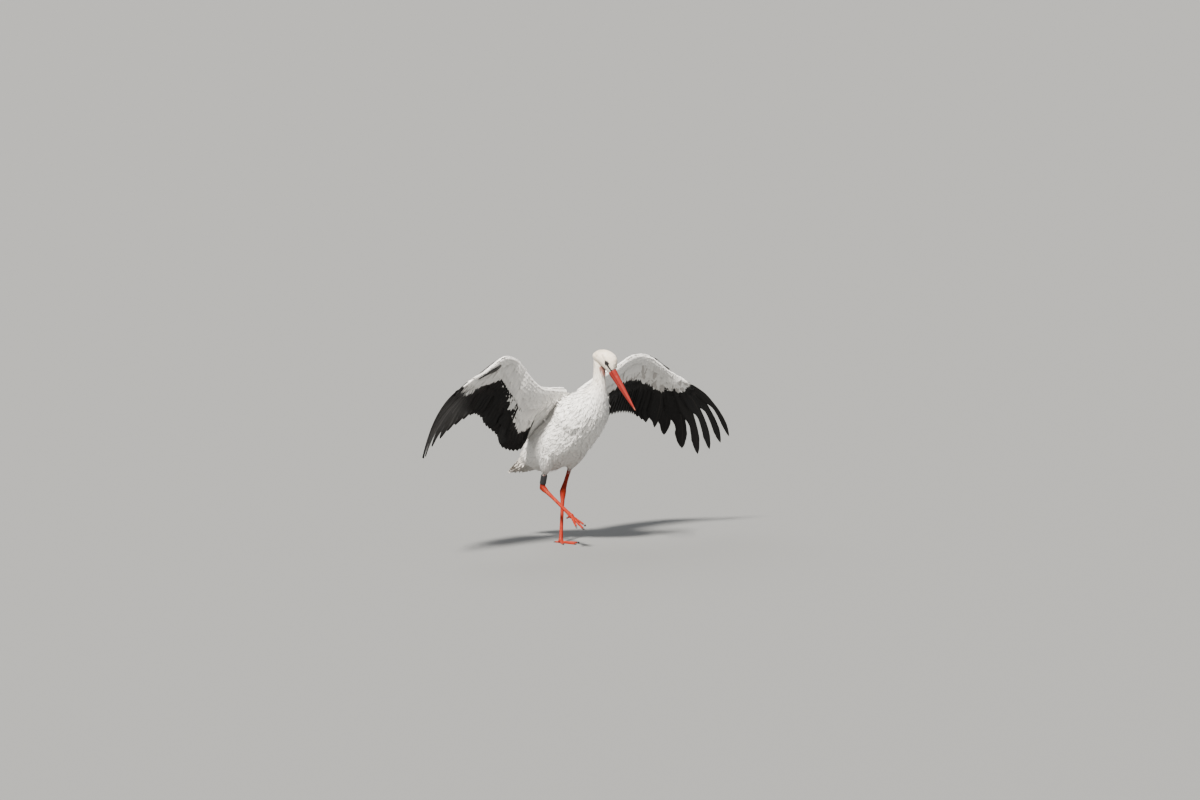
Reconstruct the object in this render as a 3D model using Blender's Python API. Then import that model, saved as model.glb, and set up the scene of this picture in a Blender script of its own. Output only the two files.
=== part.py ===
"""White stork, life size: it steps forward on its left leg with the wings half open and drooping.

Metres, +Z up. The bird faces -Y, so its left side is +X. The origin is on the floor under the ball of
the standing (left) foot. Places on the bird are given as (left, forward, up), measured from the point on
the floor in its middle plane, and at() turns them into the frame above.

Every feathered piece is drawn to the outer surface of its plumage. Neighbouring pieces stay GAP apart.
"""

import math

import bmesh
import bpy
from mathutils import Vector

# ---------------------------------------------------------------- driving dimensions
GAP = 0.0004                      # clearance between neighbouring pieces
STANCE = (0.000, 0.030)           # the standing foot's ball: left of the middle plane, and forward

BILL_LENGTH = 0.184
BILL_PITCH = math.radians(55.5)   # how far the bill points below the horizontal
HEAD_TURN = math.radians(15.0)    # how far the head looks to the bird's left
BILL_BASE = (0.010, 0.3124, 0.7131)

EYE_RADIUS = 0.0078
EYE_PLACE = (0.0330, 0.0085, 0.0205)   # behind the bill, towards the crown, and sideways
SHANK_RADIUS = 0.0072             # bare lower part of the tibia
TARSUS_RADIUS = 0.0060
RING_HEIGHT = 0.036               # leg ring on the right shank

# the hidden knees, the ankles and the balls of the feet
KNEE = {"left": (0.055, 0.080, 0.430), "right": (-0.055, 0.032, 0.430)}
ANKLE = {"left": (0.045, -0.003, 0.205), "right": (-0.050, -0.026, 0.2245)}
BALL = {"left": (STANCE[0], STANCE[1], 0.0075), "right": (-0.062, 0.150, 0.1255)}
FEATHERED = {"left": 0.57, "right": 0.71}   # share of the tibia that is feathered
TOE_PITCH = {"left": 0.0, "right": math.radians(34.0)}   # the lifted foot's toes hang down

TERTIALS, SECONDARIES, PRIMARIES = 4, 16, 10
FEATHERS = TERTIALS + SECONDARIES + PRIMARIES

# (forward, up, half depth, half width, pitch of the axis in degrees) from the rump to the top of the neck
BODY_SECTIONS = (
    (-0.1400, 0.3235, 0.0375, 0.0510, 50),
    (-0.1225, 0.3265, 0.0525, 0.0605, 47),
    (-0.0945, 0.3315, 0.0675, 0.0740, 44),
    (-0.0440, 0.3660, 0.0905, 0.0945, 45),
    (0.0175, 0.4095, 0.1035, 0.1070, 45),
    (0.085, 0.4630, 0.1060, 0.1120, 45),
    (0.145, 0.5200, 0.1000, 0.1070, 48),
    (0.186, 0.5630, 0.0860, 0.0900, 56),
    (0.215, 0.5980, 0.0600, 0.0640, 66),
    (0.236, 0.6330, 0.0380, 0.0400, 76),
    (0.246, 0.6660, 0.0255, 0.0265, 85),
    (0.248, 0.7000, 0.0225, 0.0235, 92),
    (0.250, 0.7350, 0.0225, 0.0230, 96),
    (0.247, 0.7680, 0.0215, 0.0220, 99),
)
TRUNK_END, NECK_MIDDLE = 7.6, 9.5          # section numbers where the trunk and the lower neck end

# (distance behind the bill, offset towards the crown, half depth, half width)
HEAD_SECTIONS = (
    (0.0000, 0.0010, 0.0186, 0.0138),
    (0.0080, 0.0042, 0.0222, 0.0178),
    (0.0230, 0.0085, 0.0296, 0.0240),
    (0.0420, 0.0085, 0.0346, 0.0290),
    (0.0620, 0.0022, 0.0356, 0.0312),
    (0.0780, -0.0060, 0.0340, 0.0306),
    (0.0900, -0.0125, 0.0292, 0.0272),
    (0.0980, -0.0170, 0.0215, 0.0205),
    (0.1025, -0.0195, 0.0120, 0.0120),
)


class Wing:
    """One wing's bones, leading edge and feather tips, as (outward, forward, up) places."""

    def __init__(self, side, shoulder, elbow, wrist, digit, edge, tips, bow, outer_bow, hand_cover, fingers):
        self.side = side
        self.sign = 1.0 if side == "left" else -1.0
        self.bones = [self.place(p) for p in (shoulder, elbow, wrist, digit)]
        self.edge = [self.place(p) for p in edge]
        self.tip_numbers = [number for number, _ in tips]
        self.tips = [self.place(p) for _, p in tips]
        self.bow = Vector((bow[0] * self.sign, -bow[1], bow[2]))
        self.outer_bow, self.hand_cover, self.fingers = outer_bow, hand_cover, fingers

    def place(self, point):
        outward, forward, up = point
        return at(outward * self.sign, forward, up)


def at(left, forward, up):
    """A place on the bird in the part's frame."""
    return Vector((left - STANCE[0], STANCE[1] - forward, up))


# ---------------------------------------------------------------- curves
def catmull(points, t):
    """A smooth curve through points, where t counts them."""
    last = len(points) - 1
    t = min(max(t, 0.0), float(last))
    i = min(int(t), last - 1)
    s = t - i
    a, b, c, d = (points[min(max(k, 0), last)] for k in (i - 1, i, i + 1, i + 2))
    return 0.5 * (2 * b + (c - a) * s + (2 * a - 5 * b + 4 * c - d) * s * s + (3 * b - a - 3 * c + d) * s**3)


def numbers_at(rows, t):
    """Catmull-Rom through rows of numbers."""
    last = len(rows) - 1
    t = min(max(t, 0.0), float(last))
    i = min(int(t), last - 1)
    s = t - i
    a, b, c, d = (rows[min(max(k, 0), last)] for k in (i - 1, i, i + 1, i + 2))
    return [
        0.5 * (2 * q + (r - p) * s + (2 * p - 5 * q + 4 * r - u) * s * s + (3 * q - p - 3 * r + u) * s**3)
        for p, q, r, u in zip(a, b, c, d)
    ]


def steps(start, end, count):
    return [start + (end - start) * k / count for k in range(count + 1)]


# ---------------------------------------------------------------- mesh helpers
def material(name, colour, roughness=0.7):
    made = bpy.data.materials.get(name)
    if made:
        return made
    made = bpy.data.materials.new(name)
    made.use_nodes = True
    shader = made.node_tree.nodes["Principled BSDF"]
    shader.inputs["Base Color"].default_value = (*colour, 1.0)
    shader.inputs["Roughness"].default_value = roughness
    shader.inputs["Metallic"].default_value = 0.0
    return made


WHITE = ("white_plumage", (0.86, 0.84, 0.79), 0.85)
BLACK = ("black_plumage", (0.02, 0.02, 0.025), 0.55)
RED = ("red_horn", (0.72, 0.13, 0.06), 0.45)
LEG = ("red_leg_skin", (0.75, 0.16, 0.08), 0.55)
DARK = ("dark_horn", (0.06, 0.05, 0.05), 0.4)
EYE = ("eye", (0.03, 0.02, 0.02), 0.1)
RING = ("ring_plastic", (0.03, 0.03, 0.035), 0.4)


def new_object(name, mesh_builder, finish, collection, smooth=True):
    mesh = bpy.data.meshes.new(name)
    mesh_builder.normal_update()
    bmesh.ops.recalc_face_normals(mesh_builder, faces=mesh_builder.faces)
    mesh_builder.to_mesh(mesh)
    mesh_builder.free()
    if smooth:
        mesh.shade_smooth()
        mesh.set_sharp_from_angle(angle=math.radians(50))
    made = bpy.data.objects.new(name, mesh)
    mesh.materials.append(material(*finish))
    collection.objects.link(made)
    return made


def loft(name, rings, finish, collection):
    """A closed skin over rings of equal length, with flat ends."""
    builder = bmesh.new()
    rows = [[builder.verts.new(p) for p in ring] for ring in rings]
    count = len(rows[0])
    for low, high in zip(rows, rows[1:]):
        for k in range(count):
            builder.faces.new((low[k], low[(k + 1) % count], high[(k + 1) % count]))
            builder.faces.new((low[k], high[(k + 1) % count], high[k]))
    builder.faces.new(rows[0])
    builder.faces.new(rows[-1])
    return new_object(name, builder, finish, collection)


def oval(centre, across, upward, half_width, half_depth, count, power=1.0):
    """A ring round centre. A power under 1 makes it squarer."""
    points = []
    for k in range(count):
        angle = 2 * math.pi * k / count
        c, s = math.cos(angle), math.sin(angle)
        c = math.copysign(abs(c) ** power, c)
        s = math.copysign(abs(s) ** power, s)
        points.append(centre + across * (half_width * c) + upward * (half_depth * s))
    return points


def tube(name, path, radii, finish, collection, count=12, flat=1.0, start=None):
    """A tapered tube along path. flat is its depth over its width, start its direction at the first point."""
    rings = []
    for k, point in enumerate(path):
        ahead = path[min(k + 1, len(path) - 1)] - path[max(k - 1, 0)]
        if k == 0 and start:
            ahead = start.copy()
        ahead.normalize()
        across = ahead.cross(Vector((0, -1, 0.2))).normalized()
        upward = across.cross(ahead).normalized()
        rings.append(oval(point, across, upward, radii[k], radii[k] * flat, count))
    return loft(name, rings, finish, collection)


def boolean(target, other, operation):
    cut = target.modifiers.new(operation.lower(), "BOOLEAN")
    cut.operation = operation
    cut.solver = "EXACT"
    cut.object = other
    bpy.context.view_layer.update()
    graph = bpy.context.evaluated_depsgraph_get()
    mesh = bpy.data.meshes.new_from_object(target.evaluated_get(graph))
    target.modifiers.clear()
    old = target.data
    target.data = mesh
    mesh.name = target.name
    bpy.data.meshes.remove(old)


def swollen(source, margin, collection):
    """A cutter: source's shape, grown by margin along its normals."""
    mesh = source.data.copy()
    mesh.update()
    normals = [v.normal.copy() for v in mesh.vertices]
    for vertex, normal in zip(mesh.vertices, normals):
        vertex.co += normal * margin
    made = bpy.data.objects.new(source.name + "_cutter", mesh)
    made.hide_render = True
    made.display_type = "WIRE"
    collection.objects.link(made)
    return made


# ---------------------------------------------------------------- trunk, neck and head
def body_ring(t, count=20):
    forward, up, depth, width, pitch = numbers_at(BODY_SECTIONS, t)
    pitch = math.radians(pitch)
    centre = at(0, forward, up)
    across = Vector((1, 0, 0))
    upward = Vector((0, math.sin(pitch), math.cos(pitch)))   # towards the back
    return oval(centre, across, upward, width, depth, count)


def body_piece(name, start, end, count, collection):
    margin = 0.004
    rings = [body_ring(t) for t in steps(start + margin, end - margin, count)]
    return loft(name, rings, WHITE, collection)


def head_frame():
    heading = Vector((math.sin(HEAD_TURN), -math.cos(HEAD_TURN), 0))
    across = Vector((math.cos(HEAD_TURN), math.sin(HEAD_TURN), 0))      # towards its left
    down = Vector((0, 0, -1))
    along = heading * math.cos(BILL_PITCH) + down * math.sin(BILL_PITCH)   # towards the bill's tip
    crown = heading * math.sin(BILL_PITCH) - down * math.cos(BILL_PITCH)
    return at(*BILL_BASE), along, crown, across


def make_head(collection, cutters):
    base, along, crown, across = head_frame()
    rings = []
    for t in steps(0, len(HEAD_SECTIONS) - 1, 10):
        behind, lift, depth, width = numbers_at(HEAD_SECTIONS, t)
        centre = base - along * behind + crown * lift
        rings.append(oval(centre, across, crown, width, depth, 16, 0.94))
    head = loft("head", rings, WHITE, collection)
    for side, sign in (("left", 1), ("right", -1)):
        centre = base - along * EYE_PLACE[0] + crown * EYE_PLACE[1] + across * (sign * EYE_PLACE[2])
        eye = ball("eye_" + side, centre, EYE_RADIUS, EYE, collection)
        boolean(head, swollen(eye, GAP, cutters), "DIFFERENCE")
    return head


def ball(name, centre, radius, finish, collection):
    builder = bmesh.new()
    bmesh.ops.create_uvsphere(builder, u_segments=12, v_segments=8, radius=radius)
    bmesh.ops.translate(builder, verts=builder.verts, vec=centre)
    return new_object(name, builder, finish, collection)


def make_bill(collection):
    """Both halves meet along the gape line, which runs a little below the middle."""
    base, along, crown, across = head_frame()
    stations = (0.0, 0.06, 0.2, 0.38, 0.56, 0.74, 0.88, 0.96, 1.0)
    for name, sign in (("bill_upper", 1), ("bill_lower", -1)):
        rings = []
        for s in stations:
            taper = (1 - s) ** 0.80
            depth = 0.0162 * taper + 0.0014
            width = 0.0128 * taper + 0.0012
            length = BILL_LENGTH * (s if sign > 0 else s * 0.985) + GAP
            centre = base + along * length - crown * (0.0015 * (1 - s))
            half = []
            for k in range(9):
                angle = math.pi * k / 8
                point = centre + across * (width * math.cos(angle))
                point += crown * sign * (depth * math.sin(angle) ** 0.9 + GAP / 2 if 0 < k < 8 else GAP / 2)
                half.append(point)
            rings.append(half)
        loft(name, rings, RED, collection)


# ---------------------------------------------------------------- legs and feet
def make_leg(side, collection, cutters, trunk):
    knee, ankle, foot = (at(*place[side]) for place in (KNEE, ANKLE, BALL))
    shin = (ankle - knee).normalized()
    hem = knee.lerp(ankle, FEATHERED[side])
    top = knee - shin * 0.02
    path = [top.lerp(hem, s) for s in (0.0, 0.3, 0.55, 0.75, 0.9, 1.0)]
    thigh = tube("thigh_" + side, path, (0.050, 0.052, 0.046, 0.034, 0.022, 0.0115), WHITE, collection, 16)
    boolean(thigh, swollen(trunk, GAP, cutters), "DIFFERENCE")

    shank_start = hem + shin * GAP
    joint = ankle - shin * 0.012
    path = [shank_start.lerp(joint, s) for s in (0.0, 0.35, 0.7, 1.0)]
    tube("shank_" + side, path, (SHANK_RADIUS, SHANK_RADIUS * 0.95, SHANK_RADIUS, 0.0100), LEG, collection)

    # the ankle is a long knob, widest fore and aft, that runs out into the tarsus
    cannon = (foot - ankle).normalized()
    length = (foot - ankle).length
    bend_in = joint + shin * GAP * 1.5
    path = [bend_in, ankle + cannon * 0.004, ankle + cannon * 0.018, ankle + cannon * 0.036]
    radii = [0.0100, 0.0125, 0.0108, 0.0078]
    for s in (0.35, 0.6, 0.85):
        path.append(ankle + cannon * (length * s))
        radii.append(TARSUS_RADIUS if s < 0.8 else TARSUS_RADIUS * 1.08)
    path.append(foot - cannon * 0.014)
    radii.append(TARSUS_RADIUS * 1.25)
    tube("tarsus_" + side, path, radii, LEG, collection, start=shin)
    return foot, cannon


TOES = (("inner", 36, 0.060, 0.0047), ("middle", 0, 0.078, 0.0052), ("outer", -34, 0.066, 0.0047),
        ("hind", 172, 0.026, 0.0040))
CLAW_LENGTH = 0.010


def make_foot(side, foot, cannon, collection, cutters):
    """Toes spread from the ball. The standing foot is flat on the floor, the other's toes hang."""
    pitch = TOE_PITCH[side]
    lift = 0.0 if side == "left" else 1.0
    turn = -1.0 if side == "left" else 1.0
    level = foot.z if lift == 0.0 else None
    root = foot + cannon * (0.002 if lift else 0.0)
    pad = ball("foot_" + side, root + Vector((0, 0, 0.0022)) * (1 - lift), 0.0098, LEG, collection)
    for name, spread, length, radius in TOES:
        angle = math.radians(spread * (1.0 if not lift else 0.62 if name != "hind" else 1.0)) * turn
        ahead = Vector((math.sin(angle), -math.cos(angle) * math.cos(pitch), 0))
        ahead.z = -math.sin(pitch) * math.cos(angle) if name != "hind" else -0.30 * lift
        ahead.normalize()
        path, radii = [], []
        knobs = 3 if length > 0.04 else 1
        for s in steps(-0.02, 1.0, 6 if knobs == 3 else 3):
            swell = 1.0 + 0.08 * math.cos(2 * math.pi * knobs * s)
            slim = radius * (1 - 0.30 * max(s, 0)) * swell
            point = root + ahead * (length * s)
            if level is not None:
                point.z = slim * 0.82
            path.append(point)
            radii.append(slim)
        toe = tube("toe_cutter", path, radii, LEG, cutters, 8)
        toe.hide_render = True
        boolean(pad, toe, "UNION")
        make_claw(f"claw_{side}_{name}", path[-1], ahead, radii[-1], level is not None, collection)
    shaft = tube("shaft_cutter", [foot - cannon * (0.014 - GAP), foot - cannon * 0.004], [0.0074, 0.0078], LEG,
                 cutters)
    shaft.hide_render = True
    boolean(pad, shaft, "UNION")
    if level is not None:
        floor = bmesh.new()
        bmesh.ops.create_cube(floor, size=0.3)
        bmesh.ops.translate(floor, verts=floor.verts, vec=(foot.x, foot.y, -0.15))
        floor = new_object("floor_cutter", floor, LEG, cutters, smooth=False)
        floor.hide_render = True
        boolean(pad, floor, "DIFFERENCE")


def make_claw(name, tip, ahead, radius, on_floor, collection):
    rings = []
    for s in (0.0, 0.5, 1.0):
        centre = tip + ahead * (GAP + CLAW_LENGTH * s)
        size = radius * (0.86 - 0.62 * s)
        if on_floor:
            centre.z = max(size * 0.9, centre.z * (1 - 0.9 * s))
        else:
            centre.z -= 0.002 * s * s
        across = ahead.cross(Vector((0, 0, 1))).normalized()
        upward = across.cross(ahead).normalized()
        ring = oval(centre, across, upward, size * 0.85, size, 6)
        if on_floor:
            for point in ring:
                point.z = max(point.z, 0.0)
        rings.append(ring)
    return loft(name, rings, DARK, collection)


def make_ring(collection):
    """The plastic ring on the right shank stands just above the ankle."""
    knee, ankle = at(*KNEE["right"]), at(*ANKLE["right"])
    shin = (ankle - knee).normalized()
    low = ankle - shin * 0.0150
    across = shin.cross(Vector((1, 0, 0))).normalized()
    upward = shin.cross(across).normalized()
    inner, outer = 0.0112, 0.0134
    profile = ((inner, 0.0), (outer, 0.0), (outer, 1.0), (inner, 1.0))
    builder = bmesh.new()
    rows = []
    for radius, s in profile:
        ring = oval(low - shin * (RING_HEIGHT * s), across, upward, radius, radius, 20)
        rows.append([builder.verts.new(p) for p in ring])
    for a, b in zip(rows, rows[1:] + rows[:1]):
        for k in range(20):
            builder.faces.new((a[k], a[(k + 1) % 20], b[(k + 1) % 20], b[k]))
    new_object("leg_ring", builder, RING, collection)


# ---------------------------------------------------------------- wings
LEFT_WING = dict(
    shoulder=(0.065, 0.100, 0.605), elbow=(0.262, 0.040, 0.645), wrist=(0.410, 0.110, 0.704), digit=(0.582, 0.125, 0.615),
    edge=((0.050, 0.112, 0.625), (0.160, 0.100, 0.668), (0.255, 0.100, 0.697), (0.330, 0.112, 0.735),
          (0.415, 0.122, 0.728), (0.505, 0.128, 0.671), (0.594, 0.130, 0.621)),
    tips=((0, (0.120, -0.095, 0.395)), (2, (0.205, -0.105, 0.428)), (4, (0.290, -0.110, 0.450)), (8, (0.375, -0.105, 0.462)),
          (12, (0.440, -0.095, 0.475)), (16, (0.490, -0.085, 0.474)), (20, (0.525, -0.072, 0.462)),
          (22.5, (0.575, -0.060, 0.432)), (23.5, (0.612, -0.050, 0.408)), (24.5, (0.658, -0.040, 0.376)),
          (25.5, (0.721, 0.000, 0.320)), (26.5, (0.7705, 0.040, 0.295)), (27.5, (0.819, 0.060, 0.312)),
          (28.5, (0.866, 0.075, 0.3365)), (29.5, (0.884, 0.105, 0.364)), (30, (0.888, 0.115, 0.372))),
    bow=(0.60, 0.30, 0.55), outer_bow=0.040, hand_cover=0.16,
    fingers={23: 0.86, 24: 0.76, 25: 0.64, 26: 0.56, 27: 0.50, 28: 0.48, 29: 0.50},
)
RIGHT_WING = dict(
    shoulder=(0.065, 0.100, 0.600), elbow=(0.245, 0.085, 0.600), wrist=(0.395, 0.118, 0.755), digit=(0.576, 0.124, 0.702),
    edge=((0.050, 0.112, 0.632), (0.130, 0.112, 0.640), (0.190, 0.112, 0.652), (0.2445, 0.115, 0.691),
          (0.2925, 0.120, 0.739), (0.335, 0.125, 0.773), (0.399, 0.128, 0.790), (0.455, 0.130, 0.769),
          (0.512, 0.130, 0.742), (0.580, 0.130, 0.720)),
    tips=((0, (0.105, -0.075, 0.419)), (1.5, (0.122, -0.080, 0.379)), (4, (0.167, -0.085, 0.376)),
          (7, (0.223, -0.085, 0.398)), (9, (0.247, -0.085, 0.444)), (13, (0.310, -0.090, 0.492)),
          (15, (0.323, -0.095, 0.519)), (17.5, (0.355, -0.100, 0.538)), (19.5, (0.378, -0.105, 0.535)),
          (20.5, (0.415, -0.105, 0.522)), (21.5, (0.465, -0.100, 0.504)), (22.5, (0.515, -0.095, 0.484)),
          (23.5, (0.565, -0.085, 0.459)), (24.5, (0.620, -0.075, 0.432)), (25.5, (0.680, -0.045, 0.415)),
          (26.5, (0.730, 0.000, 0.407)), (27.5, (0.782, 0.040, 0.408)), (28.5, (0.818, 0.075, 0.415)),
          (29.5, (0.838, 0.100, 0.416)), (30, (0.842, 0.108, 0.424))),
    bow=(0.70, 0.10, 0.70), outer_bow=0.075, hand_cover=0.18,
    fingers={24: 0.84, 25: 0.74, 26: 0.62, 27: 0.55, 28: 0.52, 29: 0.54},
)
COVERT_GAP = 0.010                # share of a flight feather between the coverts' edge and its start
THUMB_GAP = 0.0008                # the bastard wing lies a little ahead of the hand


def feather_root(wing, q):
    """Where feather number q leaves its bone: tertials on the humerus, then the ulna, then the hand."""
    shoulder, elbow, wrist, digit = wing.bones
    if q < TERTIALS:
        return shoulder.lerp(elbow, 0.30 + 0.70 * q / TERTIALS)
    if q < TERTIALS + SECONDARIES:
        return elbow.lerp(wrist, (q - TERTIALS) / SECONDARIES)
    return wrist.lerp(digit, (q - TERTIALS - SECONDARIES) / PRIMARIES)


def soft_root(wing, q):
    """The same with its corners at the elbow and wrist rounded off."""
    reach = 1.2
    return (feather_root(wing, max(q - reach, 0)) + feather_root(wing, q) * 2
            + feather_root(wing, min(q + reach, FEATHERS))) / 4


def feather_tip(wing, q):
    numbers = wing.tip_numbers
    k = max(i for i, n in enumerate(numbers) if n <= q)
    k = min(k, len(numbers) - 2)
    return catmull(wing.tips, k + (q - numbers[k]) / (numbers[k + 1] - numbers[k]))


def bow_height(wing, q):
    """How far a feather bows out from its chord: most in the outer primaries."""
    return 0.014 + (wing.outer_bow - 0.014) * max(0.0, (q - 18) / 12) ** 1.2


def flight(wing, q, t):
    """A point on the sheet of flight feathers: q counts feathers and t runs from root to tip."""
    root, tip = soft_root(wing, q), feather_tip(wing, q)
    chord = (tip - root).normalized()
    bow = wing.bow - chord * wing.bow.dot(chord)
    middle = (root + tip) / 2 + bow.normalized() * (2 * bow_height(wing, q))
    return root * (1 - t) ** 2 + middle * (2 * t * (1 - t)) + tip * t * t


def flight_normal(wing, q, t):
    """Unit normal of that sheet, on the upper (outer) side of the wing."""
    e = 0.02
    across = flight(wing, min(q + e * 5, FEATHERS), t) - flight(wing, max(q - e * 5, 0), t)
    along = flight(wing, q, min(t + e, 1.0)) - flight(wing, q, max(t - e, 0.0))
    return across.cross(along).normalized() * wing.sign


def covert_reach(wing, q):
    """Share of a flight feather that the coverts hide."""
    if q < TERTIALS + SECONDARIES:
        return 0.40
    return 0.40 - wing.hand_cover * (q - TERTIALS - SECONDARIES) / PRIMARIES


def wing_section(wing, s, count=7):
    """The arm's outline at s, which runs 0 at the shoulder, 1 elbow, 2 wrist, 3 fingertip: nose first."""
    q_marks = (-1.0, TERTIALS, TERTIALS + SECONDARIES, FEATHERS)
    i = min(int(s), 2)
    q = q_marks[i] + (q_marks[i + 1] - q_marks[i]) * (s - i)
    nose = catmull(wing.edge, s / 3 * (len(wing.edge) - 1))
    q_in = max(q, 0.0)
    rear = flight(wing, q_in, covert_reach(wing, q_in))
    normal = flight_normal(wing, q_in, covert_reach(wing, q_in))
    if q < 0:
        rear += (wing.bones[0] - soft_root(wing, 0)) * -q * 0.6
    chord = rear - nose
    normal = (normal - chord.normalized() * normal.dot(chord.normalized())).normalized()
    thick = numbers_at(((0.030,), (0.024,), (0.0185,), (0.0075,)), s)[0]
    upper, lower = [], []
    for k in range(1, count + 1):
        v = (k / count) ** 1.25
        swell = math.sqrt(v) * (1 - v) * 2.1 + 0.06 * v
        half = max(thick * swell, 0.0016)
        base = nose + chord * v
        upper.append(base + normal * half)
        lower.append(base - normal * half * 0.8)
    return nose, upper, lower


def make_arm(wing, collection, cutters, trunk):
    pieces = (("upper_arm_", 0.0, 1.0, 4), ("forearm_", 1.0, 2.0, 8))
    for name, start, end, count in pieces:
        rings = []
        for s in steps(start + (0.003 if start else 0), end - 0.003, count):
            nose, upper, lower = wing_section(wing, s)
            rings.append([nose, *upper, *reversed(lower)])
        if start == 0.0:
            # the shoulder runs on down into the trunk
            sign = 1.0 if wing.side == "left" else -1.0
            rings.insert(0, [p + Vector((-0.034 * sign, 0.004, -0.046)) for p in rings[0]])
        made = loft(name + wing.side, rings, WHITE, collection)
        if start == 0.0:
            boolean(made, swollen(trunk, GAP, cutters), "DIFFERENCE")
    # the hand, and the bastard wing that forms its leading edge
    hand, thumb = [], []
    for s in steps(2.003, 3.0, 5):
        nose, upper, lower = wing_section(wing, s)
        chord = (upper[-1] + lower[-1]) / 2 - nose
        step = chord.normalized() * THUMB_GAP
        hand.append([*upper[1:], *reversed(lower[1:])])
        if s < 2.85:
            thumb.append([nose, lower[0], lower[1] - step, upper[1] - step, upper[0]])
    loft("hand_" + wing.side, hand, WHITE, collection)
    loft("alula_" + wing.side, thumb, BLACK, collection)


def sheet_solid(name, columns, finish, collection):
    """A thin solid of side-by-side feathers. columns[i] is one feather: rows of (left, middle, right), each a
    (upper, lower) pair of points. Two feathers share their edge while the two points there are the same."""
    builder = bmesh.new()
    made = {}

    def vertex(point):
        key = tuple(round(c, 6) for c in point)
        if key not in made:
            made[key] = builder.verts.new(point)
        return made[key]

    def face(*points):
        corners = []
        for v in map(vertex, points):
            if v not in corners:
                corners.append(v)
        if len(corners) > 2:
            builder.faces.new(corners)

    count = len(columns)
    for i, rows in enumerate(columns):
        for j in range(len(rows) - 1):
            low, high = rows[j], rows[j + 1]
            for k in (0, 1):
                face(low[k][0], low[k + 1][0], high[k + 1][0], high[k][0])
                face(low[k + 1][1], low[k][1], high[k][1], high[k + 1][1])
            for k, neighbour, edge in ((0, i - 1, 2), (2, i + 1, 0)):
                joined = 0 <= neighbour < count and all(
                    (columns[neighbour][m][edge][0] - rows[m][k][0]).length < 1e-6 for m in (j, j + 1))
                if not joined:
                    face(low[k][0], high[k][0], high[k][1], low[k][1])
        for row in (rows[0], rows[-1]):
            for k in (0, 1):
                face(row[k][0], row[k + 1][0], row[k + 1][1], row[k][1])
    return new_object(name, builder, finish, collection)


def finger_gap(boundary, t, slots):
    """Half the space between two feathers at a boundary, as a share of one feather's width."""
    start = slots.get(boundary, 0.955)
    if t <= start:
        return 0.0
    return 0.29 * min(1.0, (t - start) / 0.16)


def flight_sheet(name, wing, first, last, rows, collection):
    """Feathers first to last as one solid, with slots between the wing's fingers."""
    columns = []
    for i in range(first, last):
        feather = []
        for t in rows:
            row = []
            for k, q in enumerate((i, i + 0.5, i + 1)):
                start = covert_reach(wing, q) + COVERT_GAP
                reach = start + (1 - start) * t
                if k != 1:
                    gap = finger_gap(q, reach, wing.fingers)
                    if q == FEATHERS:
                        gap = 0.30 * max(0.0, reach - 0.55) / 0.45
                    if t == 1.0:
                        gap = max(gap, 0.30)
                    if q in (first, last) and q != FEATHERS:
                        gap = max(gap, GAP / 0.012)
                    q += gap if k == 0 else -gap
                    if t > 0.9:
                        reach -= 0.020
                point, normal = flight(wing, q, reach), flight_normal(wing, q, reach)
                half = 0.0013 - 0.0006 * t
                row.append((point + normal * half, point - normal * half))
            feather.append(row)
        columns.append(feather)
    return sheet_solid(name, columns, BLACK, collection)


def make_wing(side, numbers, collection, cutters, trunk):
    wing = Wing(side, **numbers)
    make_arm(wing, collection, cutters, trunk)
    inner = TERTIALS + SECONDARIES
    short_rows = (0.0, 0.8, 1.0)
    long_rows = (0.0, 0.2, 0.35, 0.5, 0.65, 0.8, 0.93, 1.0)
    flight_sheet("tertials_" + side, wing, 0, TERTIALS, short_rows, collection)
    flight_sheet("secondaries_" + side, wing, TERTIALS, inner, short_rows, collection)
    flight_sheet("primaries_" + side, wing, inner, FEATHERS, long_rows, collection)


# ---------------------------------------------------------------- tail
TAIL_FEATHERS = 10


def make_tail(collection):
    """A closed fan of white feathers that droops from the rump, thick with coverts at its base."""
    base_centre, tip_centre = (-0.1385, 0.3180), (-0.212, 0.2680)
    pitch = math.radians(50.0)
    columns = []
    for i in range(TAIL_FEATHERS):
        feather = []
        for t in (0.0, 0.3, 0.65, 0.94, 1.0):
            row = []
            for k in (0, 1, 2):
                u = (i + k / 2) / TAIL_FEATHERS * 2 - 1
                reach = t if k == 1 or t < 1.0 else 0.965
                half_width = 0.048 + 0.016 * reach
                forward = base_centre[0] + (tip_centre[0] - base_centre[0]) * reach * (1 - 0.10 * u * u)
                up = base_centre[1] + (tip_centre[1] - base_centre[1]) * reach + 0.006 * u * u * reach
                thick = 0.036 * (1 - reach) * math.sqrt(max(0.0, 1 - 0.75 * u * u)) + 0.0009
                centre = at(u * half_width, forward, up)
                upward = Vector((0, math.sin(pitch), math.cos(pitch)))
                row.append((centre + upward * thick, centre - upward * thick))
            feather.append(row)
        columns.append(feather)
    return sheet_solid("tail", columns, WHITE, collection)


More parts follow.
